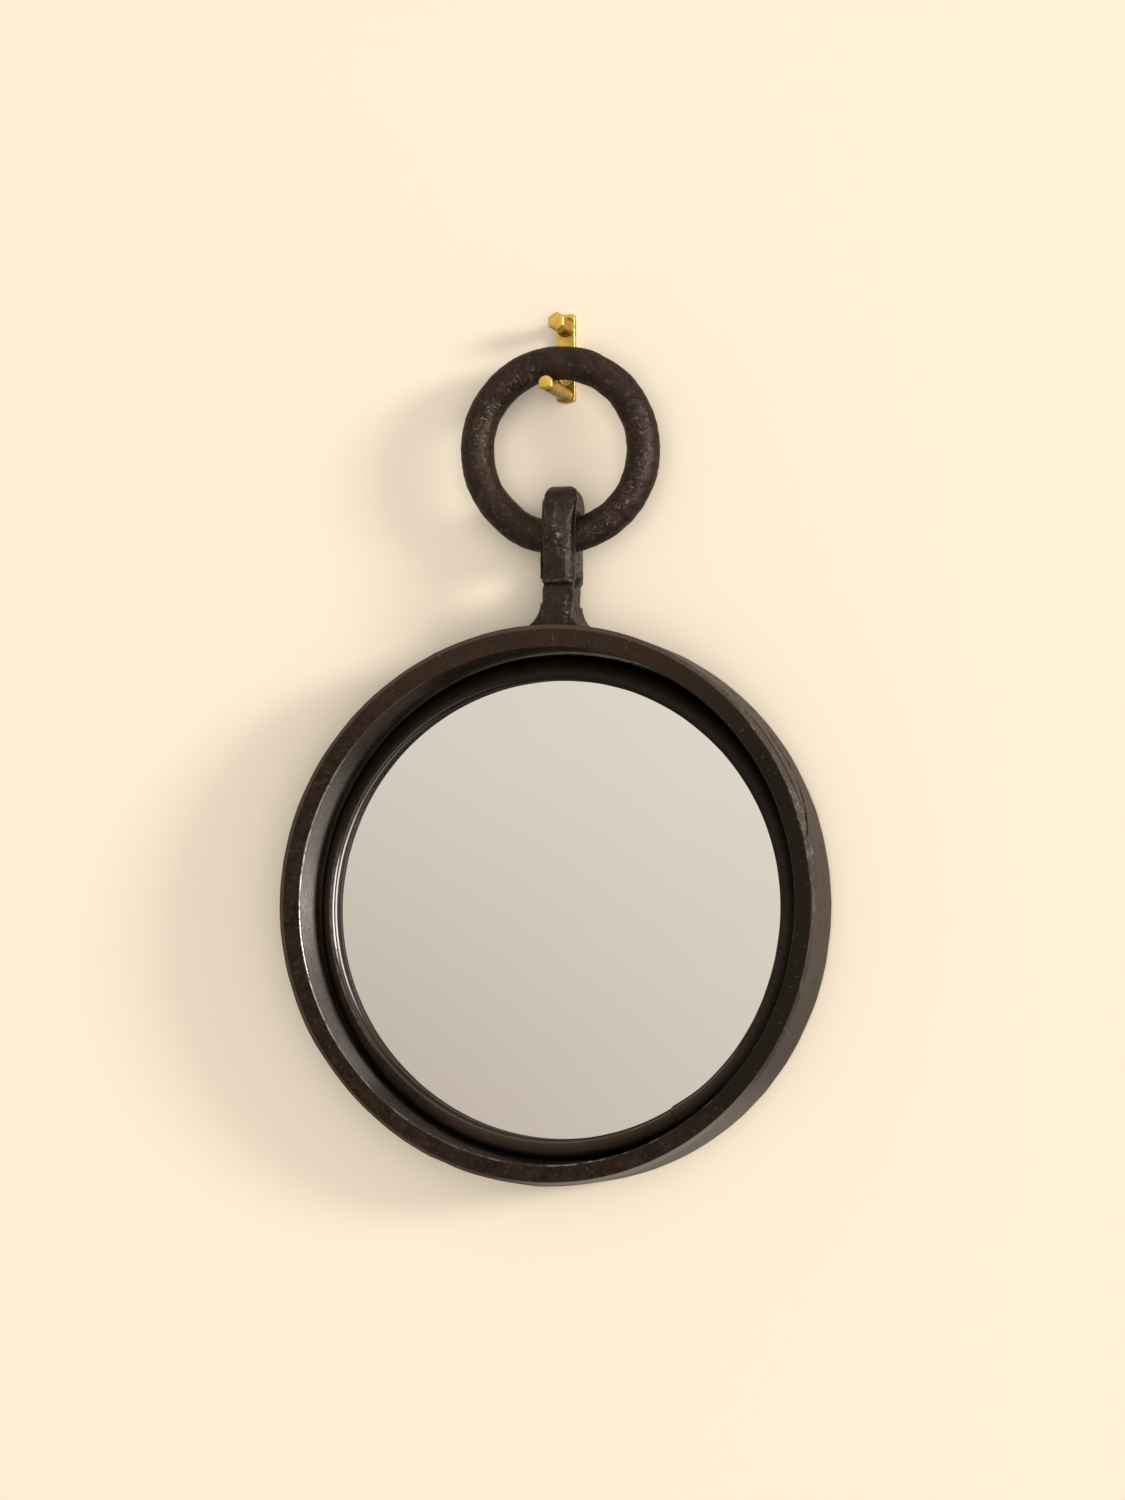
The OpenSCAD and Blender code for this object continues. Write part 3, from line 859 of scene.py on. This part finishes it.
def wander(angle, low, high, seed):
    """A wavy line round a circle, from about -1 to 1, with low to high waves in a turn."""
    draw = np.random.default_rng(seed)
    waves = range(low, high + 1)
    total = sum(draw.normal() * np.cos(k * angle + draw.uniform(0, math.tau)) for k in waves)
    return np.clip(total / math.sqrt(len(waves)) / 1.4, -1, 1)


def waves_round(angle, waves):
    """The sum of waves round a circle, each with its count in a turn, height in mm and direction."""
    return sum(height * MM * np.cos(count * angle - math.radians(turn)) for count, height, turn in waves)


def column_means(values, count):
    """The mean of a value round each of the lines that a profile's count points draw."""
    return np.tile(values.reshape(-1, count).mean(0), len(values) // count)


def facets(angle, count, seed):
    """Straight stretches between random heights from 0 to 1 round a circle."""
    draw = np.random.default_rng(seed)
    corners = np.sort(draw.uniform(-math.pi, math.pi, count))
    heights = draw.uniform(0, 1, count)
    return np.interp(angle, corners, heights, period=math.tau)


def between(angle, start, end, soft):
    """1 where an angle lies between two others in degrees, fading out over soft degrees."""
    middle, half = math.radians((start + end) / 2), math.radians((end - start) / 2)
    off = np.abs((angle - middle + math.pi) % math.tau - math.pi)
    return 1 - soft_step(off, half, half + math.radians(soft))


def polar(places):
    """Distance from the mirror's axis, angle round it and depth behind the front edge."""
    x, y, z = (places - np.array(AXIS)).T
    return np.hypot(x, z), np.arctan2(z, x), y


def from_polar(radius, angle, depth):
    flat = np.stack([radius * np.cos(angle), depth, radius * np.sin(angle)], 1)
    return flat + np.array(AXIS)


def chamfer(radius, depth, edge_r, edge_depth, out, back, size, slope):
    """Cuts an edge of the hoop back to a flat. out and back are 1 or -1 outwards.

    The flat takes size off the radius and slope times as much off the depth.
    """
    over_r, over_d = (edge_r - radius) * out, (edge_depth - depth) * back / slope
    short = np.maximum(size - over_r - over_d, 0) / 2
    short = short * (over_r < size) * (over_d < size)
    return radius - out * short, depth - back * short * slope


def turned_piece(name, profile, finish, pitch, centre, segments=ROUND_SEGMENTS):
    """The points of a profile as a closed loop of edges, turned round a centre."""
    count = len(profile)
    edges = [(i, (i + 1) % count) for i in range(count)]
    piece = add_piece(name, mesh_of(name, [(p[0], p[1], 0) for p in profile], edges))
    apply_tree(piece, TURNED, Pitch_radius=pitch, Segments=segments, Centre=centre, Finish=finish)
    return piece


def hammer(piece, finish, seed, dents, lumps):
    """Hammers a piece. dents and lumps are each a size and a depth in mm."""
    (dent_size, dent_depth), (lump_size, lump_depth) = dents, lumps
    apply_tree(
        piece, HAMMERED, Dent_size=dent_size * MM, Dent_depth=dent_depth * MM, Lump_size=lump_size * MM,
        Lump_depth=lump_depth * MM, Seed=seed, Finish=finish,
    )


def hoop(finish):
    """The hoop: flat bar bent edge to edge, its edges hammered and worn."""
    half, cut = HOOP_BAR / 2, 0.7 * MM
    profile = soft_outline([
        (half, 0, cut, 0.5 * MM), (half, 11 * MM, 0, 1.6 * MM), (half, HOOP_DEPTH, cut, 1.2 * MM),
        (-half, HOOP_DEPTH, cut, 1.6 * MM), (-half, 4 * MM, 0, 0.8 * MM), (-half, 0, cut, 0.7 * MM),
    ])
    piece = turned_piece("hoop", profile, finish, HOOP_R - half, AXIS)
    hammer(piece, finish, 2.0, (13, 0.12), (30, 0.15))
    settled(piece)
    radius, angle, depth = polar(vertex_array(piece.data))
    # Flats that the hammer left on the outside, none of them under the eye's foot
    flats = 0.3 * facets(angle, 60, 11) + 0.8 * facets(angle, 44, 12) * between(angle, 215, 262, 8)
    flats = flats + 0.4 * facets(angle, 40, 13) * between(angle, 104, 150, 6)
    flats = flats * (1 - between(angle, 78, 102, 6)) * (0.75 * MM)
    radius = radius - flats * np.clip((radius - HOOP_IN) / HOOP_BAR, 0, 1)
    outer = HOOP_R - flats
    worn = [1.0 + 0.25 * wander(angle, 9, 60, 20 + i) for i in range(4)]
    bevel = between(angle, -30, 50, 18) * (0.5 + 1.5 * facets(angle, 70, 31))
    rolled = between(angle, 8, 40, 8) * (2.0 + 1.1 * facets(angle, 60, 32))
    for edge in (
        (outer, 0, 1, -1, (0.8 * worn[0] + bevel) * MM, 1),
        (outer, 0, 1, -1, rolled * MM + 1e-9, 3.6),
        (HOOP_IN, 0, -1, -1, worn[1] * 0.65 * MM, 1),
        (outer, HOOP_DEPTH, 1, 1, worn[2] * 1.2 * MM, 1),
        (HOOP_IN, HOOP_DEPTH, -1, 1, worn[3] * 1.2 * MM, 1),
    ):
        radius, depth = chamfer(radius, depth, *edge)
    # Burrs on the inner edge
    burr = between(angle, 258, 286, 4) * soft_step(wander(angle, 60, 170, 41), 0.45, 0.9)
    at_edge = soft_step(radius, HOOP_IN + 1.5 * MM, HOOP_IN + 0.4 * MM) * soft_step(depth, 1.6 * MM, 0.6 * MM)
    radius = radius - burr * at_edge * (0.45 * MM)
    share = (radius - HOOP_IN) / HOOP_BAR
    bent = radius + waves_round(angle, HOOP_WAVES) * (0.6 + 0.4 * share)
    move_vertices(piece, from_polar(bent, angle, depth))
    note_edges(smooth_shaded(piece), 1.6 * MM)
    note(piece, "share", share)
    finish_piece(piece, "mirror", finish, "hoop_iron", "outer_hoop")


def bead_profile():
    """From the lip out over the two steps and the shoulder, and back round the rebate for the glass."""
    back_r, rebate_r = BEAD_R - LIP_R, GLASS_R + 0.4 * MM - LIP_R
    ledge_depth, shoulder_y = CREST_DEPTH + BEAD_DROP, CREST_DEPTH + BEAD_SHOULDER
    shoulder_x = back_r - GROOVE - BEAD_SHOULDER
    fine, coarse, cut = 0.3 * MM, 1.5 * MM, 0.4 * MM
    arc = [
        (shoulder_x + BEAD_SHOULDER * math.sin(a), shoulder_y - BEAD_SHOULDER * math.cos(a), 0, 1)
        for a in np.radians(np.arange(5, 90, 5))
    ]
    return soft_outline([
        (0, LIP_DEPTH, 0, 0.7 * MM), (0, ledge_depth + 0.9 * MM, cut, fine),
        (BEAD_STEP, ledge_depth, 0.1 * MM, fine), (BEAD_STEP, CREST_DEPTH + 0.5 * MM, cut, fine),
        (2 * BEAD_STEP, CREST_DEPTH, cut, fine), *arc, (back_r - GROOVE, shoulder_y, 0, fine),
        (back_r, shoulder_y, 0, coarse), (back_r, BEAD_BACK, cut, coarse), (rebate_r, BEAD_BACK, cut, coarse),
        (rebate_r, LIP_DEPTH, 0, coarse),
    ])


def bead_notes(radius, angle, depth, count):
    """Which vertices lie on the crest, the ledge, the gap behind them and the lip, by their place in the
    profile of count points, and how far out they lie."""
    mean_r, mean_d = column_means(radius, count), column_means(depth, count) - CREST_DEPTH
    below = between(angle, 222, 318, 25)
    shallow = mean_d < 0.8 * MM
    at_step = LIP_R + BEAD_STEP
    crest = near(mean_r, LIP_R + 1.5 * BEAD_STEP + 0.7 * MM * below, 0.75 * MM) * shallow
    ledge = near(mean_r, LIP_R + 0.5 * BEAD_STEP, 0.7 * MM) * near(mean_d, BEAD_DROP + 0.4 * MM, 0.9 * MM)
    riser = near(mean_r, at_step, 0.5 * MM) * (mean_d > 0.8 * MM) * (mean_d < BEAD_DROP - 0.1 * MM)
    under_lip = (mean_r < LIP_R + 0.3 * MM) * (mean_d > BEAD_DROP + 1.2 * MM)
    lip = under_lip * soft_step(mean_d, 5.2 * MM, 6.2 * MM)
    gap = riser + under_lip - lip + near(mean_r, at_step, 0.7 * MM) * shallow * below
    share = (mean_r - LIP_R) / (BEAD_R - LIP_R)
    return {"crest": crest, "ledge": ledge, "gap": gap, "lip": lip, "share": share}


def bead(finish):
    """The bead ring: two fine steps at the glass and a round shoulder down into the groove."""
    profile = bead_profile()
    piece = turned_piece("bead", profile, finish, LIP_R, AXIS)
    hammer(piece, finish, 4.0, (9, 0.06), (24, 0.15))
    settled(piece)
    radius, angle, depth = polar(vertex_array(piece.data))
    notes = bead_notes(radius, angle, depth, len(profile))
    # The lap where the bead's two ends were scarfed together stands a little inwards
    past = (angle - LAP_ANGLE + 0.3) % math.tau - 0.3
    lap = soft_step(past, -0.003, 0.002) * (1 - soft_step(past, 0.02, 0.16))
    at_lip = 1 - soft_step(radius, LIP_R + 2 * MM, LIP_R + 7 * MM)
    radius = radius - lap * at_lip * (0.55 * MM)
    depth = depth - lap * (1 - soft_step(depth, 30 * MM, 36 * MM)) * (0.3 * MM)
    # The lip is wider than round. It lies below the hoop's middle, to its left above and to its right below
    lean = 1 - soft_step(radius, LIP_R + 2 * MM, LIP_R + 11 * MM)
    high = radius * np.sin(angle)
    aside = -1 * MM + 2.1 * MM * soft_step(-high, 20 * MM, 135 * MM)
    down = -0.7 * MM - 0.6 * MM * soft_step(high, 20 * MM, 130 * MM)
    radius = radius + 0.7 * MM * lean * np.cos(angle) ** 2
    places = from_polar(radius, angle, depth)
    places[:, 0] += lean * aside
    places[:, 2] += lean * down
    move_vertices(piece, places)
    note_edges(smooth_shaded(piece), 0.5 * MM, 0)
    for name, values in notes.items():
        note(piece, name, values)
    finish_piece(piece, "mirror", finish, "bead_iron", "bead_ring")


def hanging_ring(finish):
    """The ring, hammered all over and a little out of round."""
    bar_r, count = RING_BAR_R + 0.45 * MM, 72
    turns = [math.tau * k / count for k in range(count)]
    profile = [(bar_r * math.cos(a), bar_r * math.sin(a)) for a in turns]
    piece = turned_piece("ring", profile, finish, RING_R, RING_CENTRE, RING_SEGMENTS)
    hammer(piece, finish, 6.0, (8, 0.4), (15, 0.5))
    hammer(piece, finish, 7.0, (3, 0.22), (4, 0.14))
    settled(piece)
    # Out of round, and the bar a little thicker on top
    local = vertex_array(piece.data) - np.array(RING_CENTRE)
    angle, radius = np.arctan2(local[:, 2], local[:, 0]), np.hypot(local[:, 0], local[:, 2])
    swell = 0.5 * MM * between(angle, 65, 115, 35) * soft_step(radius, RING_R, RING_R + 6 * MM)
    waves = waves_round(angle, RING_WAVES) * (1 - 0.8 * between(angle, -110, -70, 25))
    local[:, ::2] *= (1 + (swell + waves) / radius)[:, None]
    move_vertices(piece, local + np.array(RING_CENTRE))
    note_edges(smooth_shaded(piece), 3 * MM)
    finish_piece(piece, "hanging_ring", finish, "ring_iron", "hanging_ring")


def eye(finish):
    """The eye: bar bent over the ring, its front arm ridged and lapped onto the shank."""
    piece = one_skin("eye_bar", [frame["nodes"]["eye"].data], 0.005 * MM)
    radius, angle, depth = polar(vertex_array(piece.data))
    # The foot is welded into the hoop
    sunk = np.where(radius < HOOP_R + 0.4 * MM, radius - 2 * MM, radius)
    move_vertices(piece, from_polar(sunk, angle, depth))
    settled(fused(piece, 0.5 * MM, 5))
    normals = vertex_array(piece.data, "normal")
    middle = np.array((0, PLANE_Y, EYE_Z))
    local = vertex_array(piece.data) - middle
    c, s = math.cos(EYE_TWIST), math.sin(EYE_TWIST)
    across = local[:, 0] * c + local[:, 1] * s
    depth = -local[:, 0] * s + local[:, 1] * c
    up = local[:, 2]
    # Shoulders that narrow towards the crown
    crown = eye_high.z - EYE_Z
    narrow = 1 - 0.21 * np.clip((up - crown + EYE_SHOULDER) / EYE_SHOULDER, 0, 1) ** 1.8
    # A ridge down the front arm, with a wide face on its left and a steeper one on its right
    ridge = np.clip(2 * MM - 0.31 * up, -0.5 * MM, 5.5 * MM)
    facing = soft_step(-normals[:, 1], 0.2, 0.6) * soft_step(-depth, 12 * MM, 16 * MM)
    arm = soft_step(up, -30 * MM, -25 * MM) * (1 - soft_step(up, 8 * MM, 24 * MM))
    fall = 0.42 * np.maximum(across - ridge, 0) + 0.1 * np.maximum(ridge - across, 0)
    new_depth = depth + fall * facing * arm
    # At the front the right half of the arm and the shank is wider, and the left half of the arm narrower
    front = soft_step(-depth, 4 * MM, 14 * MM)
    above_foot, above_lap = soft_step(up, -52 * MM, -44 * MM), soft_step(up, -33 * MM, -30 * MM)
    new_across = across * narrow + 2 * MM * soft_step(across, 0, 8 * MM) * front * above_foot
    new_across = new_across + 0.9 * MM * soft_step(-across, 0, 8 * MM) * front * above_lap
    high = soft_step(up, 4 * MM, 20 * MM)
    local[:, 2] = up + 2.6 * MM * high
    local[:, 0] = new_across * c - new_depth * s + EYE_ASIDE + 1.2 * MM * high
    local[:, 1] = new_across * s + new_depth * c
    move_vertices(piece, local + middle)
    hammer(piece, finish, 8.0, (7, 0.35), (12, 0.35))
    hammer(piece, finish, 9.0, (2.8, 0.22), (3.5, 0.14))
    settled(piece)
    note_edges(smooth_shaded(piece), 2.2 * MM)
    finish_piece(piece, "mirror", finish, "eye_iron", "eye")


# Brass hook


def rounds(y, z, radius, shape="round", count=96):
    """A ring of points on an outline across the Y axis: round, a hexagon with a corner on top, or an arch
    with a flat foot."""
    ring = []
    for k in range(count):
        a = math.tau * k / count
        reach = radius
        if shape == "arch" and math.sin(a) < 0:
            reach = min(radius / max(abs(math.cos(a)), 0.01), -0.75 * radius / math.sin(a), 1.12 * radius)
        if shape == "hexagon":
            off = (a - math.pi / 2) % (math.pi / 3) - math.pi / 6
            sharp = radius * math.cos(math.pi / 6) / math.cos(off)
            reach = min(sharp, radius * 0.97)
        ring.append(Vector((reach * math.cos(a), y, z + reach * math.sin(a))))
    return ring


def prong(start, z, shape, *rows):
    """Outlines of one shape along a prong. A row has mm in front of start, mm above z and a radius in mm."""
    return [rounds(start - ahead * MM, z + up * MM, radius * MM, shape) for ahead, up, radius in rows]


def flat_plate(name, outlines, thickness, bevel):
    """A plate from closed outlines of (x, y) points, holes among them, with bevelled edges."""
    curve = bpy.data.curves.new(name, "CURVE")
    curve.dimensions = "2D"
    curve.fill_mode = "BOTH"
    curve.extrude = thickness / 2 - bevel
    curve.bevel_depth = bevel
    curve.bevel_resolution = 2
    curve.offset = -bevel
    for outline in outlines:
        spline = curve.splines.new("POLY")
        spline.points.add(len(outline) - 1)
        for point, (x, y) in zip(spline.points, outline):
            point.co = (x, y, 0, 1)
        spline.use_cyclic_u = True
    source = add_piece(name, curve)
    mesh = shown_mesh(source)
    remove([source])
    return one_skin(name, [mesh], 0.002 * MM, outwards=True)


def countersink(z):
    """The shape that cuts a countersunk screw hole through the hook's plate."""
    hole_r, sink_r, sink_t = 2.1 * MM, 3.9 * MM, 1.8 * MM
    return loft("countersink", [
        rounds(1 * MM, z, hole_r), rounds(-PLATE_T + sink_t, z, hole_r),
        rounds(-PLATE_T, z, sink_r), rounds(-PLATE_T - 1 * MM, z, sink_r),
    ])


def hook(finish):
    """The brass hook: a plate, an upper prong with a six-sided knob and a lower prong for the ring."""
    width, height = hook_high.x - hook_low.x, hook_high.z - hook_low.z
    w, h = width / 2 - 0.1 * MM, height / 2 - 0.3 * MM
    corners = ((w, -h), (w, h + 2 * MM), (-w, h + 2 * MM), (-w, -h))
    outline = [tuple(p) for p in soft_outline([(x, z, 2.5 * MM, 4 * MM) for x, z in corners])]
    plate = flat_plate("plate", [outline], PLATE_T, 0.6 * MM)
    plate.data.transform(Matrix.Translation((0, -PLATE_T / 2, 0)) @ Matrix.Rotation(math.pi / 2, 4, "X"))
    neck = ((-2.7, 0, 5.6), (0.2, 0, 5.5), (2, 0, 4.5), (6, 0, 4.0), (11, 0, 4.3))
    knob = ((12.7, 0, 5.6), (13.6, 0, 6.0), (19.6, 0, 6.0), (20.6, 0, 5.3))
    upper = prong(-PLATE_T, TOP_PRONG_Z, "round", *neck) + prong(-PLATE_T, TOP_PRONG_Z, "hexagon", *knob)
    upper += prong(-PLATE_T, TOP_PRONG_Z, "round", (21, 0, 3.0))
    knob_y = PLANE_Y - RING_BAR_R - 1 * MM
    shaft = ((-2.7, 0, 4.8), (0.4, 0, 4.7), (4, 0, 4.4), (5.4, 0.4, 4))
    shaft_end = ((-1, 0.4, 4), (0.4, 0.8, 4.3))
    tip = ((1.4, 0.8, 4.6), (6.7, 0.8, 4.6), (7.6, 0.8, 4.1), (8, 0.8, 2.6))
    lower = prong(-PLATE_T, SEAT_Z, "round", *shaft) + prong(knob_y, SEAT_Z, "round", *shaft_end)
    lower += prong(knob_y, SEAT_Z, "arch", *tip)
    solids = [plate, loft("upper_prong", upper), loft("lower_prong", lower)]
    piece = one_skin("hook_body", [solid.data for solid in solids])
    remove(solids)
    cut_by(piece, [countersink(1.5 * MM), countersink(-11.5 * MM)])
    fused(piece, 0.27 * MM, 4)
    hammer(piece, finish, 10.0, (5, 0.04), (6, 0.08))
    settled(piece)
    note_edges(smooth_shaded(piece), 1.0 * MM)
    finish_piece(piece, "wall_hook", finish, "hook_brass", "wall_hook")


# The back


def turn_button(index, finish):
    """A plated button with rolled edges, in the place of its CAD node."""
    name = f"turn_button_{index}"
    low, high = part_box(name)
    half, hole_r = BUTTON_W / 2, SCREW_R + 0.07 * MM
    bend = np.linspace(-math.pi / 2, math.pi / 2, 25)
    outline = [(half * math.cos(a), half * math.sin(a)) for a in bend]
    outline += [(-BUTTON_REACH - half * math.cos(a), -half * math.sin(a)) for a in bend]
    hole = [(hole_r * math.cos(a), hole_r * math.sin(a)) for a in np.linspace(0, math.tau, 32, False)]
    piece = flat_plate(f"button_{index}", [outline, hole], high.y - low.y, 0.25 * MM)
    angle = math.radians(45 + 90 * (index - 1))
    across, up = BUTTON_PIVOT_R * math.cos(angle), BUTTON_PIVOT_R * math.sin(angle)
    pivot = Vector((across, (low.y + high.y) / 2, MIRROR_Z + up))
    turn = Matrix.Rotation(-angle, 4, "Y") @ Matrix.Rotation(math.pi / 2, 4, "X")
    piece.data.transform(Matrix.Translation(pivot) @ turn)
    note_edges(piece, 0.5 * MM)
    finish_piece(piece, name, finish, "plated_steel", name)


def round_part(name, heights):
    """A round part on the axis from rows of (y, radius)."""
    return loft(name, [rounds(y, 0, radius, count=64) for y, radius in heights])


def copied_round(piece, finish, count, first, radius, spin, seed):
    """Copies a part round the mirror, the first at an angle in degrees, each spun by up to spin."""
    apply_tree(
        piece, ROW, Count=count, First_angle=math.radians(first), Circle_radius=radius, Spin=spin,
        Seed=seed, Finish=finish,
    )
    settled(piece)
    piece.data.transform(Matrix.Translation((0, 0, MIRROR_Z)))


def pan_screw(finish):
    """Four slotted pan-head screws, from one that is copied round the mirror."""
    low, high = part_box("button_screw_1")
    seat, r = high.y - SCREW_HEAD_H, SCREW_HEAD_R
    piece = round_part("button_screws", [
        (low.y, SCREW_R), (seat, SCREW_R), (seat, r - 0.15 * MM), (seat + 0.2 * MM, r), (seat + 0.9 * MM, r),
        (seat + 1.5 * MM, r * 0.93), (high.y - 0.2 * MM, r * 0.74), (high.y, r * 0.45),
    ])
    slot = loft("slot", [
        [Vector((sx * 1.2 * r, y, sz * 0.45 * MM)) for sx, sz in ((1, 1), (-1, 1), (-1, -1), (1, -1))]
        for y in (high.y - 0.9 * MM, high.y + 1 * MM)
    ])
    cut_by(piece, [slot])
    copied_round(piece, finish, 4, 45, BUTTON_PIVOT_R, 1.2, 5)
    note_edges(piece, 0.4 * MM)
    nodes = [f"button_screw_{i}" for i in range(1, 5)]
    finish_piece(piece, "mirror", finish, "screw_steel", *nodes)


def bumpers(finish):
    """Three rubber bumpers with a rounded rim, from one that is copied round the hoop."""
    r = (bumper_high.x - bumper_low.x) / 2
    wall = bumper_high.y
    piece = round_part("bumpers", [
        (bumper_low.y, r), (wall - 1.4 * MM, r), (wall - 0.7 * MM, r * 0.97), (wall - 0.2 * MM, r * 0.88),
        (wall, r * 0.74),
    ])
    copied_round(piece, finish, 3, 90, HOOP_R - HOOP_BAR / 2, 0.0, 1)
    finish_piece(piece, "mirror", finish, "bumper_rubber", "wall_bumper_1", "wall_bumper_2", "wall_bumper_3")


def dress(node, finish):
    """Gives a CAD node its finish."""
    mesh = frame["nodes"][node].data
    mesh.materials.clear()
    mesh.materials.append(finish)


# Stage, lights and camera


def stage_plane(name, corners, colour, glow=0.0):
    """A plain sheet of the set, which only a camera in front of it sees.

    glow is how much of the sheet's tone the camera sees whatever light falls on it.
    """
    nodes = new_finish(name)
    cloud = nodes.noise(400, 81.0, 2)
    shade = nodes.mix(cloud, colour, tuple(c * 0.985 for c in colour))
    paint = nodes.add("ShaderNodeBsdfDiffuse", None, {"Color": shade})
    lit = nodes.add("ShaderNodeEmission", None, {"Color": shade})
    is_camera = nodes.add("ShaderNodeLightPath", out="Is Camera Ray")
    behind = nodes.add("ShaderNodeNewGeometry", out="Backfacing")
    clear = nodes.add("ShaderNodeBsdfTransparent")
    seen = nodes.mix_shader(behind, nodes.mix_shader(is_camera * glow, paint, lit), clear)
    nodes.add("ShaderNodeOutputMaterial", None, {"Surface": seen})
    sheet = add_piece(name, mesh_of(name, corners, faces=[range(len(corners))]))
    sheet.data.materials.append(nodes.material)
    return sheet


def stage():
    """The wall behind the hook and a floor below it."""
    reach, floor_z, wall_y = 4.0, -0.95, 0.4 * MM

    def corners(low):
        return (-reach, low), (reach, low), (reach, reach), (-reach, reach)

    wall = stage_plane("wall", [(x, wall_y, z) for x, z in corners(floor_z)], tone(255, 239, 216))
    wall.visible_diffuse = wall.visible_glossy = wall.visible_transmission = wall.visible_shadow = False
    floor = stage_plane("floor", [(x, y, floor_z) for x, y in corners(-reach)], tone(240, 231, 214), 0.7)
    floor.visible_diffuse = floor.visible_shadow = False


def aimed(nodes, way, aim):
    """The cosine between a direction and the one that aim points in."""
    return nodes.vector("DOT_PRODUCT", way, Vector(aim).normalized(), out="Value")


def background(nodes, colour, strength):
    return nodes.add("ShaderNodeBackground", None, {"Color": colour, "Strength": strength})


def world():
    """A bright room to the upper right, a pale background, and what the iron, glass and brass mirror."""
    made = bpy.data.worlds.new("room")
    made.use_nodes = True
    bpy.context.scene.world = made
    nodes = Nodes(made.node_tree)
    way = nodes.place = nodes.add("ShaderNodeTexCoord", out="Generated")
    x, y, z = nodes.split(way)
    cloud = nodes.noise(35, 85.0, 2).rise(0.35, 0.65)
    sill = aimed(nodes, way, (0.7, -0.52, -0.48)).rise(0.75, 0.94)
    mirrored = nodes.layers(
        tone(182, 171, 159),
        (x.rise(-0.42, -0.18), tone(222, 212, 203)),
        (z.rise(-0.075, 0.12) * 0.5, tone(255, 252, 240)),
        (cloud * 0.06, tone(206, 214, 176)),
        (z.rise(-0.15, -0.6), tone(120, 96, 72)),
        (y.rise(-0.25, 0.15), tone(190, 174, 150)),
        (sill, (9.0, 8.6, 8.4)),
    )
    lobe = aimed(nodes, way, (0.3, -0.95, -0.08)).over() ** 10
    is_glossy = nodes.add("ShaderNodeLightPath", out="Is Glossy Ray")
    is_camera = nodes.add("ShaderNodeLightPath", out="Is Camera Ray")
    plain = background(nodes, DAYLIGHT, 0.25 + lobe * 3.6)
    light = nodes.mix_shader(is_glossy, plain, background(nodes, mirrored, 1.0))
    seen = nodes.mix_shader(is_camera, light, background(nodes, tone(247, 239, 224), 1.0))
    nodes.add("ShaderNodeOutputWorld", None, {"Surface": seen})


def outwards(side, rise):
    """The direction away from the wall, turned to the right and raised by angles in degrees."""
    side, rise = math.radians(side), math.radians(rise)
    return Vector((math.sin(side) * math.cos(rise), -math.cos(side) * math.cos(rise), math.sin(rise)))


def point(piece, ahead):
    """Turns a lamp or a camera to a direction, upright."""
    piece.rotation_euler = ahead.to_track_quat("-Z", "Y").to_euler()


def window_light():
    """Light from a window on the right, a little above the mirror."""
    data = bpy.data.lights.new("window", "AREA")
    data.shape = "RECTANGLE"
    data.size, data.size_y = 2.55, 1.95
    data.energy = 760
    data.color = DAYLIGHT
    lamp = add_piece("window", data)
    away, distance = outwards(66, 9.4), 12.0
    lamp.location = Vector((0, 0, MIRROR_Z + 0.1)) + away * distance
    point(lamp, -away)
    lamp.visible_camera = False


def camera():
    """The photograph's viewpoint: a little to the right of the mirror and a little below its middle."""
    data = bpy.data.cameras.new("camera")
    data.lens, data.sensor_width, data.clip_end = 86.4, 36, 50
    viewer = add_piece("camera", data)
    viewer.location = (0.6195, -2.0788, -0.4001)
    point(viewer, -outwards(16.67, -4.28))
    bpy.context.scene.camera = viewer


def build():
    hoop(hoop_finish())
    bead(bead_finish())
    hanging_ring(ring_finish())
    eye(eye_finish())
    hook(brass_finish())
    dress("mirror_glass", glass_finish())
    dress("glazing_tape", tape_finish())
    dress("backing_pad", felt_finish())
    dress("backing_board", hardboard_finish())
    plated = steel_finish("plated_steel", 91.0)
    for index in range(1, 5):
        turn_button(index, plated)
    pan_screw(steel_finish("screw_steel", 95.0))
    bumpers(rubber_finish())
    stage()
    world()
    window_light()
    camera()
    bpy.context.scene.view_settings.view_transform = "Standard"


build()
